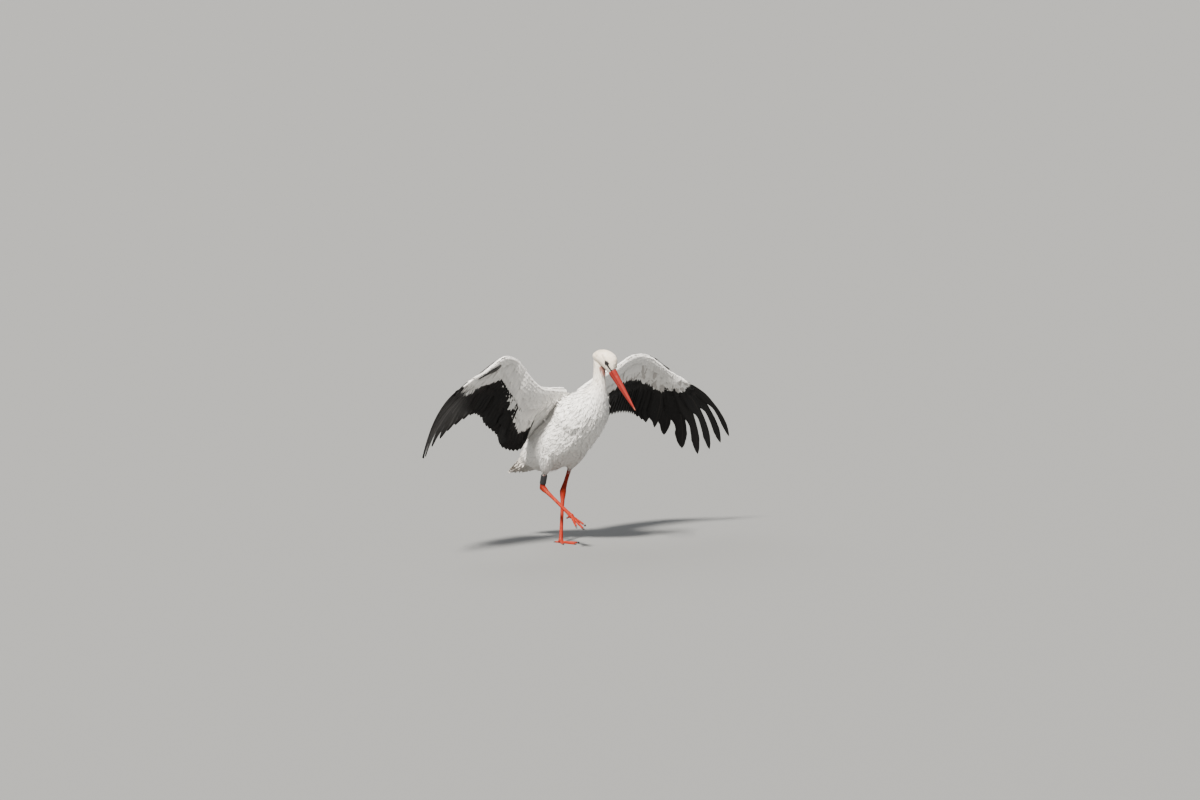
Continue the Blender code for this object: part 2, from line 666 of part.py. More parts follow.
def main():
    for old in list(bpy.data.objects):
        bpy.data.objects.remove(old)
    stork = bpy.data.collections.new("white_stork")
    cutters = bpy.data.collections.new("cutters")
    for made in (stork, cutters):
        bpy.context.scene.collection.children.link(made)

    trunk = body_piece("trunk", 0.0, TRUNK_END, 14, stork)
    body_piece("neck_lower", TRUNK_END, NECK_MIDDLE, 6, stork)
    neck = body_piece("neck_upper", NECK_MIDDLE, 13.0, 6, stork)
    head = make_head(stork, cutters)
    boolean(neck, swollen(head, GAP, cutters), "DIFFERENCE")
    make_bill(stork)
    make_tail(stork)
    for side in ("left", "right"):
        foot, cannon = make_leg(side, stork, cutters, trunk)
        make_foot(side, foot, cannon, stork, cutters)
    make_ring(stork)
    make_wing("left", LEFT_WING, stork, cutters, trunk)
    make_wing("right", RIGHT_WING, stork, cutters, trunk)
    for cutter in list(cutters.objects):
        bpy.data.objects.remove(cutter)


main()
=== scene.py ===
# %% [markdown]
# # A white stork, half-open wings, one foot on the ground
# The imported model is a set of plain closed solids that end at the surface of the plumage. This script
# dresses them: one continuous skin lies a few millimetres inside the solids, and thousands of small
# vanes stand on it. The large wing and tail feathers are modelled one by one. We load the solids first,
# because the skin is made from them.

# %% Load the imported solids
import math

import bmesh
import bpy
import numpy as np
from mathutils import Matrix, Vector
from mathutils.bvhtree import BVHTree
from mathutils.kdtree import KDTree


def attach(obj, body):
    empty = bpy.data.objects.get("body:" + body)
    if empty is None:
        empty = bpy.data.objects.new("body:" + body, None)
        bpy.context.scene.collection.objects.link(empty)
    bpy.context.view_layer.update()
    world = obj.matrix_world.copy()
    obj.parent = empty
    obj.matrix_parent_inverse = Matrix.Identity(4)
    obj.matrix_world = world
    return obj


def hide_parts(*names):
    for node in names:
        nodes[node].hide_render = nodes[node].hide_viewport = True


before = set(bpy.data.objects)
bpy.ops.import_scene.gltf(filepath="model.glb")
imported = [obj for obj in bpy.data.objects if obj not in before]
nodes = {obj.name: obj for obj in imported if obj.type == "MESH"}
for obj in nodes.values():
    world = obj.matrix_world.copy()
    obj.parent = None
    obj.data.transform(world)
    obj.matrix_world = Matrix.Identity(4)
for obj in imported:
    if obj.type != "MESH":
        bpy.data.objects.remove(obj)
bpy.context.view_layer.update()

scene = bpy.context.scene

# %% [markdown]
# ## Directions
# The bird faces -Y and its left is +X. It is easier to think in the bird's own directions: left, forward
# and up, measured from a point on the floor in its middle plane. The origin of the model is under the
# standing foot, so one small shift turns one into the other.

# %% Bird directions to model directions
STANCE = (0.000, 0.030)                  # the standing foot, left of the middle plane and forward


def at(left, forward, up):
    """A place on the bird, in the model's frame. Each argument is a number or an array."""
    return np.stack(np.broadcast_arrays(left - STANCE[0], STANCE[1] - forward, up), -1).astype(float)


def unit(vectors):
    """The same vectors, one metre long."""
    vectors = np.asarray(vectors, float)
    return vectors / np.maximum(np.linalg.norm(vectors, axis=-1, keepdims=True), 1e-12)


def spline(rows, t):
    """A smooth curve through rows of numbers. t counts rows, and may be an array."""
    rows = np.asarray(rows, float)
    last = len(rows) - 1
    t = np.clip(np.asarray(t, float), 0, last)
    i = np.minimum(t.astype(int), last - 1)
    s = (t - i)[..., None]
    a, b, c, d = (rows[np.clip(i + k, 0, last)] for k in (-1, 0, 1, 2))
    return 0.5 * (2 * b + (c - a) * s + (2 * a - 5 * b + 4 * c - d) * s**2 + (3 * b - a - 3 * c + d) * s**3)


def smoothstep(low, high, value):
    """0 below low, 1 above high, and an S curve between them."""
    s = np.clip((np.asarray(value, float) - low) / (high - low), 0, 1)
    return s * s * (3 - 2 * s)


print("up is", at(0, 0, 1), "and forward is", at(0, 1, 0) - at(0, 0, 0))

# %% [markdown]
# ## Camera, light and floor
# Seen through a long lens from far away, the near and the far wing keep their true sizes beside each other.
# Lamps near the bird would leave a bright pool on the floor, so we use three far ones with a broad face: a
# key, a weak fill and one from behind. A slightly grey floor lets white feathers stand out.

# %% Camera
AZIMUTH, ELEVATION, DISTANCE = math.radians(-45.0), math.radians(6.5), 60.0
view = Vector((math.sin(AZIMUTH) * math.cos(ELEVATION), -math.cos(AZIMUTH) * math.cos(ELEVATION),
               math.sin(ELEVATION)))
target = Vector(at(0.1259, 0.1259, 0.5733))
camera_data = bpy.data.cameras.new("camera")
camera_data.sensor_width = 36.0
camera_data.lens = 36.0 * DISTANCE / 4.8
camera_data.clip_end = 500.0
camera = bpy.data.objects.new("camera", camera_data)
camera.location = target + view * DISTANCE
camera.rotation_euler = (-view).to_track_quat("-Z", "Y").to_euler()
scene.collection.objects.link(camera)
scene.camera = camera
print("camera at", [round(c, 2) for c in camera.location], "lens", round(camera_data.lens), "mm")


# %% Lights, surround and floor
def soft_sun(name, azimuth, elevation, strength, spread, colour):
    """A broad, far lamp. It lights the whole floor evenly, and its spread softens the shadows."""
    data = bpy.data.lights.new(name, "SUN")
    data.energy, data.angle, data.color = strength, math.radians(spread), colour
    a, e = math.radians(azimuth), math.radians(elevation)
    towards = Vector((math.sin(a) * math.cos(e), -math.cos(a) * math.cos(e), math.sin(e)))
    lamp = bpy.data.objects.new(name, data)
    lamp.rotation_euler = towards.to_track_quat("Z", "Y").to_euler()
    scene.collection.objects.link(lamp)
    return lamp


soft_sun("key_light", -70, 50, 17.0, 9, (1.0, 0.955, 0.89))
soft_sun("fill_light", 35, 25, 0.4, 50, (0.92, 0.96, 1.0))
soft_sun("back_light", 165, 40, 1.4, 40, (1.0, 1.0, 1.0))
world = bpy.data.worlds.new("surround")
world.use_nodes = True
world.node_tree.nodes["Background"].inputs["Color"].default_value = (0.86, 0.89, 0.93, 1)
world.node_tree.nodes["Background"].inputs["Strength"].default_value = 0.50
scene.world = world

floor_mesh = bpy.data.meshes.new("floor")
floor_mesh.from_pydata([(-60, -60, 0), (60, -60, 0), (60, 60, 0), (-60, 60, 0)], [], [(0, 1, 2, 3)])
floor = bpy.data.objects.new("floor", floor_mesh)
floor_finish = bpy.data.materials.new("floor_finish")
floor_finish.use_nodes = True
floor_finish.node_tree.nodes["Principled BSDF"].inputs["Base Color"].default_value = (0.125, 0.127, 0.125, 1)
floor_finish.node_tree.nodes["Principled BSDF"].inputs["Roughness"].default_value = 0.9
floor_mesh.materials.append(floor_finish)
scene.collection.objects.link(floor)
print("3 lights and a floor")

# %% [markdown]
# ## Surfaces that the feathers follow
# The trunk and neck are a curved tube of ovals, and the head is a second, short tube that runs back from
# the bill. Each wing is an arm with a rounded front edge, and a sheet of flight feathers behind it. The
# same few numbers that shaped the solids describe them here, as tables of sections and smooth curves.

# %% Sections of the body and head
# (forward, up, half depth, half width, pitch of the axis in degrees) from the rump to the top of the neck
BODY_SECTIONS = (
    (-0.1400, 0.3235, 0.0375, 0.0510, 50), (-0.1225, 0.3265, 0.0525, 0.0605, 47),
    (-0.0945, 0.3315, 0.0675, 0.0740, 44), (-0.0440, 0.3660, 0.0905, 0.0945, 45),
    (0.0175, 0.4095, 0.1035, 0.1070, 45), (0.085, 0.4630, 0.1060, 0.1120, 45),
    (0.145, 0.5200, 0.1000, 0.1070, 48), (0.186, 0.5630, 0.0860, 0.0900, 56),
    (0.215, 0.5980, 0.0600, 0.0640, 66), (0.236, 0.6330, 0.0380, 0.0400, 76),
    (0.246, 0.6660, 0.0255, 0.0265, 85), (0.248, 0.7000, 0.0225, 0.0235, 92),
    (0.250, 0.7350, 0.0225, 0.0230, 96), (0.247, 0.7680, 0.0215, 0.0220, 99))
# (distance behind the bill, offset towards the crown, half depth, half width)
HEAD_SECTIONS = (
    (0.0000, 0.0010, 0.0186, 0.0138), (0.0080, 0.0042, 0.0222, 0.0178), (0.0230, 0.0085, 0.0296, 0.0240),
    (0.0420, 0.0085, 0.0346, 0.0290), (0.0620, 0.0022, 0.0356, 0.0312), (0.0780, -0.0060, 0.0340, 0.0306),
    (0.0900, -0.0125, 0.0292, 0.0272), (0.0980, -0.0170, 0.0215, 0.0205), (0.1025, -0.0195, 0.0120, 0.0120))
BILL_LENGTH, BILL_PITCH, HEAD_TURN = 0.184, math.radians(55.5), math.radians(15.0)
EYE_RADIUS, EYE_PLACE = 0.0078, (0.0330, 0.0085, 0.0205)

bill_base = at(0.010, 0.3124, 0.7131)
heading = np.array((math.sin(HEAD_TURN), -math.cos(HEAD_TURN), 0.0))
head_left = np.array((math.cos(HEAD_TURN), math.sin(HEAD_TURN), 0.0))
bill_way = heading * math.cos(BILL_PITCH) - np.array((0, 0, math.sin(BILL_PITCH)))
crown_way = heading * math.sin(BILL_PITCH) + np.array((0, 0, math.cos(BILL_PITCH)))


def body_surface(t, angle):
    """A point of the trunk or neck: t counts sections, and angle runs round from the left over the back."""
    forward, up, depth, width, pitch = np.moveaxis(spline(BODY_SECTIONS, t), -1, 0)
    pitch = np.radians(pitch)
    back = np.stack((np.zeros_like(pitch), np.sin(pitch), np.cos(pitch)), -1)
    across = np.array((1.0, 0, 0))
    return (at(0.0, forward, up) + across * (width * np.cos(angle))[..., None]
            + back * (depth * np.sin(angle))[..., None])


def head_surface(t, angle):
    """A point of the head. t counts sections back from the bill, angle runs from left over the crown."""
    behind, lift, depth, width = np.moveaxis(spline(HEAD_SECTIONS, t), -1, 0)
    return (bill_base - bill_way * behind[..., None] + head_left * (width * np.cos(angle))[..., None]
            + crown_way * (lift + depth * np.sin(angle))[..., None])


STEPS_BETWEEN = 8                        # points of the body's line for each section
body_line = spline(BODY_SECTIONS, np.linspace(0, 13, 13 * STEPS_BETWEEN + 1))
body_step = np.gradient(body_line[:, :2], axis=0)


def along_body(points):
    """How far along the body's sections points are, and how far round from the left over the back."""
    left, forward, up = points[:, 0] + STANCE[0], STANCE[1] - points[:, 1], points[:, 2]
    gap = (forward[:, None] - body_line[None, :, 0]) ** 2 + (up[:, None] - body_line[None, :, 1]) ** 2
    nearest = gap.argmin(1)
    off = np.stack((forward, up), -1) - body_line[nearest, :2]
    further = (off * body_step[nearest]).sum(-1) / (body_step[nearest] ** 2).sum(-1)
    pitch = np.radians(body_line[nearest, 4])
    height = -off[:, 0] * np.sin(pitch) + off[:, 1] * np.cos(pitch)
    return (nearest + np.clip(further, -0.6, 0.6)) / STEPS_BETWEEN, np.arctan2(height, left)


print("crown is", round(float(head_surface(4.5, 1.57)[2]), 3), "m up")

# %% Tail shape
TAIL_BASE, TAIL_TIP, TAIL_PITCH = (-0.1385, 0.3180), (-0.212, 0.2680), math.radians(50.0)
tail_up = np.array((0, math.sin(TAIL_PITCH), math.cos(TAIL_PITCH)))


def tail_point(u, reach, side=0.0):
    """A point of the tail: u from right (-1) to left, reach from rump to tip, and which face it is on."""
    u, reach = np.broadcast_arrays(np.asarray(u, float), np.asarray(reach, float))
    forward = TAIL_BASE[0] + (TAIL_TIP[0] - TAIL_BASE[0]) * reach * (1 - 0.10 * u * u)
    up = TAIL_BASE[1] + (TAIL_TIP[1] - TAIL_BASE[1]) * reach + 0.006 * u * u * reach
    rest = np.clip(1 - reach, 0, 1)
    thick = 0.036 * rest * np.sqrt(np.maximum(0, 1 - 0.75 * u * u)) + 0.0009
    return at(u * (0.048 + 0.016 * reach), forward, up) + tail_up * (thick * side)[..., None]


print("tail is", round(float(np.linalg.norm(tail_point(0, 1) - tail_point(0, 0))), 3), "m long")

# %% [markdown]
# A wing is described by its bones, the line of its front edge and the tips of its feathers. Feathers are
# counted from the body out: 4 tertials, 16 secondaries and 10 primaries. A feather is a shallow arc from
# its root on the bone to its tip, and any number between two feathers gives a place between them.

# %% Wing shapes
TERTIALS, SECONDARIES, PRIMARIES = 4, 16, 10
FEATHERS = TERTIALS + SECONDARIES + PRIMARIES
LEFT_WING = dict(
    shoulder=(0.065, 0.100, 0.605), elbow=(0.262, 0.040, 0.645), wrist=(0.410, 0.110, 0.704),
    digit=(0.582, 0.125, 0.615),
    edge=((0.050, 0.112, 0.625), (0.160, 0.100, 0.668), (0.255, 0.100, 0.697), (0.330, 0.112, 0.735),
          (0.415, 0.122, 0.728), (0.505, 0.128, 0.671), (0.594, 0.130, 0.621)),
    tips=((0, (0.120, -0.095, 0.395)), (2, (0.205, -0.105, 0.428)), (4, (0.290, -0.110, 0.450)),
          (8, (0.375, -0.105, 0.462)), (12, (0.440, -0.095, 0.475)), (16, (0.490, -0.085, 0.474)),
          (20, (0.525, -0.072, 0.462)), (22.5, (0.575, -0.060, 0.432)), (23.5, (0.612, -0.050, 0.408)),
          (24.5, (0.658, -0.040, 0.376)), (25.5, (0.721, 0.000, 0.320)), (26.5, (0.7705, 0.040, 0.295)),
          (27.5, (0.819, 0.060, 0.312)), (28.5, (0.866, 0.075, 0.3365)), (29.5, (0.884, 0.105, 0.364)),
          (30, (0.888, 0.115, 0.372))),
    bow=(0.60, 0.30, 0.55), outer_bow=0.040, hand_cover=0.16,
    fingers={23: 0.86, 24: 0.76, 25: 0.64, 26: 0.56, 27: 0.50, 28: 0.48, 29: 0.50},
    white_below=((0, 0.52), (2, 0.58), (3, 0.52), (5.7, 0.39), (6.9, 0.30), (10.3, 0.23), (13, 0.25),
                 (16.3, 0.30), (19.7, 0.41), (22.4, 0.42), (23.3, 0.42), (24.7, 0.33), (26.6, 0.25),
                 (28.1, 0.18), (30, 0.14)),
    bastard=((True, ((2.06, 0.05), (2.25, 0.035), (2.42, 0.02), (2.56, 0.012))),
             (True, ((2.08, 0.13), (2.30, 0.13), (2.60, 0.14)))), edge_white=-1.0)
RIGHT_WING = dict(
    shoulder=(0.065, 0.100, 0.600), elbow=(0.245, 0.085, 0.600), wrist=(0.395, 0.118, 0.755),
    digit=(0.576, 0.124, 0.702),
    edge=((0.050, 0.112, 0.632), (0.130, 0.112, 0.640), (0.190, 0.112, 0.652), (0.2445, 0.115, 0.691),
          (0.2925, 0.120, 0.739), (0.335, 0.125, 0.773), (0.399, 0.128, 0.790), (0.455, 0.130, 0.769),
          (0.512, 0.130, 0.742), (0.580, 0.130, 0.720)),
    tips=((0, (0.105, -0.075, 0.419)), (1.5, (0.122, -0.080, 0.379)), (4, (0.167, -0.085, 0.376)),
          (7, (0.223, -0.085, 0.398)), (9, (0.247, -0.085, 0.444)), (13, (0.310, -0.090, 0.492)),
          (15, (0.323, -0.095, 0.519)), (17.5, (0.355, -0.100, 0.538)), (19.5, (0.378, -0.105, 0.535)),
          (20.5, (0.415, -0.105, 0.522)), (21.5, (0.465, -0.100, 0.504)), (22.5, (0.515, -0.095, 0.484)),
          (23.5, (0.565, -0.085, 0.459)), (24.5, (0.620, -0.075, 0.432)), (25.5, (0.680, -0.045, 0.415)),
          (26.5, (0.730, 0.000, 0.407)), (27.5, (0.782, 0.040, 0.408)), (28.5, (0.818, 0.075, 0.415)),
          (29.5, (0.838, 0.100, 0.416)), (30, (0.842, 0.108, 0.424))),
    bow=(0.70, 0.10, 0.70), outer_bow=0.075, hand_cover=0.18,
    fingers={24: 0.84, 25: 0.74, 26: 0.62, 27: 0.55, 28: 0.52, 29: 0.54},
    white_below=((0, 0.55), (1, 0.60), (2.1, 0.61), (3.3, 0.55), (5.5, 0.42), (8.2, 0.31), (12.3, 0.23),
                 (17, 0.22), (18.5, 0.30), (19.7, 0.38), (21.5, 0.37), (22.8, 0.41), (24.6, 0.34),
                 (27, 0.26), (30, 0.18)),
    bastard=((False, ((2.06, 0.27), (2.32, 0.21), (2.60, 0.13), (2.82, 0.20))),
             (True, ((2.08, 0.19), (2.35, 0.19), (2.68, 0.20))),
             (True, ((2.08, 0.27), (2.33, 0.27), (2.58, 0.28)))), edge_white=0.12)
print(FEATHERS, "flight feathers in each wing")


# %% Wing surfaces
class Wing:
    """One wing's bones, edges and feathers. q counts feathers and t runs from a feather's root to its tip."""

    def __init__(self, name, numbers):
        self.name, self.sign = name, 1.0 if name == "left" else -1.0
        side = self.sign

        def place(p):
            """A point given for the left side, taken to this wing's side."""
            return at(p[0] * side, p[1], p[2])

        self.bones = [place(numbers[k]) for k in ("shoulder", "elbow", "wrist", "digit")]
        self.edge = np.array([place(p) for p in numbers["edge"]])
        self.tip_numbers = np.array([n for n, _ in numbers["tips"]], float)
        self.tips = np.array([place(p) for _, p in numbers["tips"]])
        bow = numbers["bow"]
        self.bow = np.array((bow[0] * side, -bow[1], bow[2]))
        self.outer_bow, self.hand_cover, self.fingers, self.bastard, self.edge_white = (
            numbers[k] for k in ("outer_bow", "hand_cover", "fingers", "bastard", "edge_white"))
        self.white_below = np.array(numbers["white_below"])

    def sharp_root(self, q):
        """The root of feather q on the bones, which bend sharply at the elbow and the wrist."""
        shoulder, elbow, wrist, digit = self.bones
        q = np.asarray(q, float)[..., None]
        inner = shoulder + (elbow - shoulder) * (0.30 + 0.70 * q / TERTIALS)
        arm = elbow + (wrist - elbow) * ((q - TERTIALS) / SECONDARIES)
        hand = wrist + (digit - wrist) * ((q - TERTIALS - SECONDARIES) / PRIMARIES)
        return np.where(q < TERTIALS, inner, np.where(q < TERTIALS + SECONDARIES, arm, hand))

    def root(self, q):
        """The root of feather q, with the bends at the joints eased."""
        q = np.asarray(q, float)
        return (self.sharp_root(np.maximum(q - 1.2, 0)) + self.sharp_root(q) * 2
                + self.sharp_root(np.minimum(q + 1.2, FEATHERS))) / 4

    def tip(self, q):
        """The tip of feather q."""
        t = np.interp(np.asarray(q, float), self.tip_numbers, np.arange(len(self.tip_numbers)))
        return spline(self.tips, t)

    def flight(self, q, t):
        """A point on the sheet of flight feathers."""
        q, t = np.broadcast_arrays(np.asarray(q, float), np.asarray(t, float))
        root, tip = self.root(q), self.tip(q)
        chord = unit(tip - root)
        bow = unit(self.bow - chord * (chord @ self.bow)[..., None])
        rise = 0.014 + (self.outer_bow - 0.014) * np.maximum(0, (q - 18) / 12) ** 1.2
        middle = (root + tip) / 2 + bow * (2 * rise)[..., None]
        t = t[..., None]
        return root * (1 - t) ** 2 + middle * (2 * t * (1 - t)) + tip * t * t

    def normal(self, q, t):
        """The sheet's unit normal, on the upper side of the wing."""
        q, t = np.broadcast_arrays(np.asarray(q, float), np.asarray(t, float))
        across = self.flight(np.minimum(q + 0.1, FEATHERS), t) - self.flight(np.maximum(q - 0.1, 0), t)
        along = self.flight(q, np.minimum(t + 0.02, 1)) - self.flight(q, np.maximum(t - 0.02, 0))
        return unit(np.cross(across, along)) * self.sign

    def cover(self, q):
        """Share of a flight feather that the coverts hide."""
        q = np.asarray(q, float)
        return 0.40 - self.hand_cover * np.maximum(0, q - TERTIALS - SECONDARIES) / PRIMARIES

    def number(self, s):
        """The feather number at s, which runs 0 shoulder, 1 elbow, 2 wrist, 3 fingertip."""
        return np.interp(s, (0, 1, 2, 3), (-1.0, TERTIALS, TERTIALS + SECONDARIES, FEATHERS))

    def section(self, s, v, upper):
        """A point of the arm: v is 0 at the front edge, 1 at the coverts' rear edge, and goes on."""
        s, v = np.broadcast_arrays(np.asarray(s, float), np.asarray(v, float))
        q = self.number(s)
        q_in = np.maximum(q, 0)
        nose = spline(self.edge, s / 3 * (len(self.edge) - 1))
        rear = self.flight(q_in, self.cover(q_in))
        rear = rear + (self.bones[0] - self.root(0)) * (np.maximum(0, -q) * 0.6)[..., None]
        normal = self.normal(q_in, self.cover(q_in))
        chord = rear - nose
        way = unit(chord)
        normal = unit(normal - way * (normal * way).sum(-1, keepdims=True))
        thick = spline(((0.030,), (0.024,), (0.0185,), (0.0075,)), s)[..., 0]
        vc = np.clip(v, 0, 1)
        half = np.maximum(thick * (np.sqrt(vc) * (1 - vc) * 2.1 + 0.06 * vc), 0.0016 * np.minimum(1, vc * 20))
        half = half * (1.0 if upper else -0.8)
        beyond = np.maximum(v - 1, 0)
        reach = np.minimum(self.cover(q_in) + beyond * 0.6, 0.95)
        far = self.flight(q_in, reach) + self.normal(q_in, reach) * (0.0025 if upper else -0.0055)
        near = nose + chord * vc[..., None] + normal * half[..., None]
        return np.where((v > 1)[..., None], far, near)

    def is_black(self, s, v, upper, length=0.0):
        """Whether plumage is black at a place on the arm, or a covert of that length that starts there."""
        q = np.maximum(self.number(s), 0)
        if upper:
            hand = (s > 1.97) & ((v > 0.40) | ((v < 0.24) & (v > self.edge_white) & (s < 2.62)))
            return hand | (v > np.interp(s, (0.3, 1.0), (0.93, 0.70)))
        chord = np.linalg.norm(self.section(s, 1.0, False) - self.section(s, 0.0, False), axis=-1)
        feather = np.linalg.norm(self.tip(q) - self.root(q), axis=-1)
        reach = self.cover(q) + np.where(v > 1, (v - 1) * 0.6, (v - 1) * chord / feather) + length / feather
        limit = np.interp(q, self.white_below[:, 0], self.white_below[:, 1])
        return reach > limit + np.where(q < 5, 0.06, 0.01)


WINGS = {"left": Wing("left", LEFT_WING), "right": Wing("right", RIGHT_WING)}
for wing in WINGS.values():
    lengths = np.linalg.norm(wing.tip(np.arange(30) + 0.5) - wing.root(np.arange(30) + 0.5), axis=-1)
    print(wing.name, "wing: longest feather", round(float(lengths.max()), 3), "m")

# %% [markdown]
# A stork has bare black skin round the eye that runs forward to the bill in a point, and a small red patch
# of bare skin on the throat. We describe both once, as rounded strokes in the head's own directions, and
# use them three times: to keep feathers away, to press the skin in a little, and to colour it.


# %% Bare skin of the face
def behind_bill(points):
    """Distances behind the bill, towards the crown and to the left, of points on the head."""
    offset = np.asarray(points) - bill_base
    return -(offset @ bill_way), offset @ crown_way, offset @ head_left


# strokes: behind the bill and towards the crown of two ends, and the half width at each
EYE = np.array(EYE_PLACE[:2])
STROKES = ((EYE, EYE, 0.0100, 0.0100), (EYE + (0.002, -0.001), np.array((-0.002, 0.0030)), 0.0052, 0.0036),
           (EYE, EYE + (0.0165, 0.0030), 0.0060, 0.0012))
THROAT_STROKES = ((np.array((0.006, -0.0455)), np.array((0.036, -0.0325)), 0.0035, 0.0060),)


def bare_distance(behind, crown, strokes=STROKES):
    """How far a point of the face is outside the bare skin. Inside it is negative."""
    best = np.full(np.shape(behind), 9.0)
    for start, end, wide, narrow in strokes:
        way = end - start
        span = max(float(way @ way), 1e-9)
        t = np.clip(((behind - start[0]) * way[0] + (crown - start[1]) * way[1]) / span, 0, 1)
        gap = np.hypot(behind - start[0] - way[0] * t, crown - start[1] - way[1] * t)
        best = np.minimum(best, gap - (wide + (narrow - wide) * t))
    return best


print("eye is", round(EYE_PLACE[0] * 1000), "mm behind the bill")

# %% [markdown]
# ## Shared effects for the finishes
# A feather's vane is made of barbs that leave the shaft at a slant, and a paler shaft runs down its
# middle. Every feather carries a small map called vane: u runs across it and v from root to tip. One node
# group draws barbs and shaft from that map, so that all feathers share it, each finish with its own
# values. A second group finds the face's markings, and a third, which holds the second, tints plumage by
# its place on the body. Skin and feathers both use it, so the same marking lies under and on the coat.


# %% Helpers for nodes and node groups
def group(name, inputs, outputs):
    """An empty shader node group with named sockets. Returns it with its two end nodes."""
    made = bpy.data.node_groups.new(name, "ShaderNodeTree")
    for socket, kind, value in inputs:
        new = made.interface.new_socket(socket, in_out="INPUT", socket_type=kind)
        new.default_value = value
    for socket, kind in outputs:
        made.interface.new_socket(socket, in_out="OUTPUT", socket_type=kind)
    return made, made.nodes.new("NodeGroupInput"), made.nodes.new("NodeGroupOutput")


def node(tree, kind, links=(), **settings):
    """A node with its settings, and its inputs set or linked from (name or number, value) pairs."""
    made = tree.nodes.new(kind)
    for key, value in settings.items():
        setattr(made, key, value)
    for socket, value in links:
        if isinstance(value, bpy.types.NodeSocket):
            tree.links.new(value, made.inputs[socket])
        else:
            made.inputs[socket].default_value = value
    return made


def maths(tree, operation, a, b=0.0, c=0.0):
    """The result of one Math node."""
    return node(tree, "ShaderNodeMath", ((0, a), (1, b), (2, c)), operation=operation).outputs[0]


def dot(tree, a, b):
    """How far the vector a reaches along the constant direction b."""
    product = node(tree, "ShaderNodeVectorMath", ((0, a), (1, tuple(b))), operation="DOT_PRODUCT")
    return product.outputs["Value"]


def ramp(tree, value, low=0.0, high=1.0, first=0.0, last=1.0, smooth=False):
    """A value taken from one range to another, and held at both ends."""
    return node(tree, "ShaderNodeMapRange", ((0, value), (1, low), (2, high), (3, first), (4, last)),
                interpolation_type="SMOOTHSTEP" if smooth else "LINEAR").outputs[0]


def blend_colour(tree, factor, a, b, how="MIX"):
    """The result of one colour Mix node."""
    mixed = node(tree, "ShaderNodeMix", ((0, factor), (6, a), (7, b)), data_type="RGBA", blend_type=how)
    return mixed.outputs[2]


print("node helpers ready")

# %% Helpers for patterns
def position(tree):
    """Each point's place in the model's frame. It stays with the piece, however the camera moves."""
    return node(tree, "ShaderNodeNewGeometry").outputs["Position"]


def noise(tree, vector, scale, detail=3.0, rough=0.5):
    """A cloudy pattern. The scale says how many clouds go into a metre."""
    return node(tree, "ShaderNodeTexNoise", (("Vector", vector), ("Scale", scale), ("Detail", detail),
                                             ("Roughness", rough))).outputs[0]


def cell_edges(tree, vector, scale, jumble=1.0):
    """The distance to the border of the cell that a point is in: a net of creases."""
    return node(tree, "ShaderNodeTexVoronoi", (("Vector", vector), ("Scale", scale), ("Randomness", jumble)),
                feature="DISTANCE_TO_EDGE").outputs[0]


print("pattern helpers ready")

# %% Helpers for materials
def finish(name, **constants):
    """A new material and its Principled shader, with constants set on the shader's own sockets."""
    made = bpy.data.materials.new(name)
    made.use_nodes = True
    shader = made.node_tree.nodes["Principled BSDF"]
    for key, value in constants.items():
        shader.inputs[key.replace("_", " ")].default_value = value
    return made, made.node_tree, shader


def feed(tree, shader, height, strength, distance, **sockets):
    """Links patterns to the shader's sockets, and a height to its normal through a Bump node."""
    for key, value in sockets.items():
        tree.links.new(value, shader.inputs[key.replace("_", " ")])
    relief = node(tree, "ShaderNodeBump",
                  (("Height", height), ("Strength", strength), ("Distance", distance)))
    tree.links.new(relief.outputs[0], shader.inputs["Normal"])


VALUE, COLOUR = "NodeSocketFloat", "NodeSocketColor"
print("material helpers ready")

# %% Node group: barbs and shaft of one vane
barbs, g_in, g_out = group(
    "Barbs and shaft",
    (("Barbs", VALUE, 60.0), ("Slant", VALUE, 0.35), ("Shaft width", VALUE, 0.03), ("Splits", VALUE, 0.2)),
    (("Shaft", VALUE), ("Barb", VALUE), ("Height", VALUE), ("Along", VALUE), ("Across", VALUE)))
uv = node(barbs, "ShaderNodeUVMap", uv_map="vane").outputs[0]
xy = node(barbs, "ShaderNodeSeparateXYZ", ((0, uv),)).outputs
side = maths(barbs, "MULTIPLY_ADD", xy[0], 2.0, -1.0)
reach = maths(barbs, "ABSOLUTE", side)
slanted = maths(barbs, "SUBTRACT", xy[1], maths(barbs, "MULTIPLY", reach, g_in.outputs["Slant"]))
phase = maths(barbs, "MULTIPLY", slanted, g_in.outputs["Barbs"])
wave = maths(barbs, "MULTIPLY_ADD", maths(barbs, "SINE", maths(barbs, "MULTIPLY", phase, 6.2832)), 0.5, 0.5)
split_noise = node(barbs, "ShaderNodeTexNoise", (("W", phase), ("Scale", 0.35), ("Detail", 2.0)),
                   noise_dimensions="1D").outputs[0]
split = maths(barbs, "MULTIPLY", ramp(barbs, split_noise, 0.62, 0.72), g_in.outputs["Splits"])
shaft = ramp(barbs, reach, 0.0, g_in.outputs["Shaft width"], 1.0, 0.0, smooth=True)
height = maths(barbs, "ADD", maths(barbs, "MULTIPLY", wave, 0.4), maths(barbs, "MULTIPLY", shaft, 1.5))
height = maths(barbs, "SUBTRACT", height, split)
for socket, value in (("Shaft", shaft), ("Barb", wave), ("Height", height), ("Along", xy[1]),
                      ("Across", side)):
    barbs.links.new(value, g_out.inputs[socket])
print("group", barbs.name, "gives", [s.name for s in g_out.inputs if s.name])


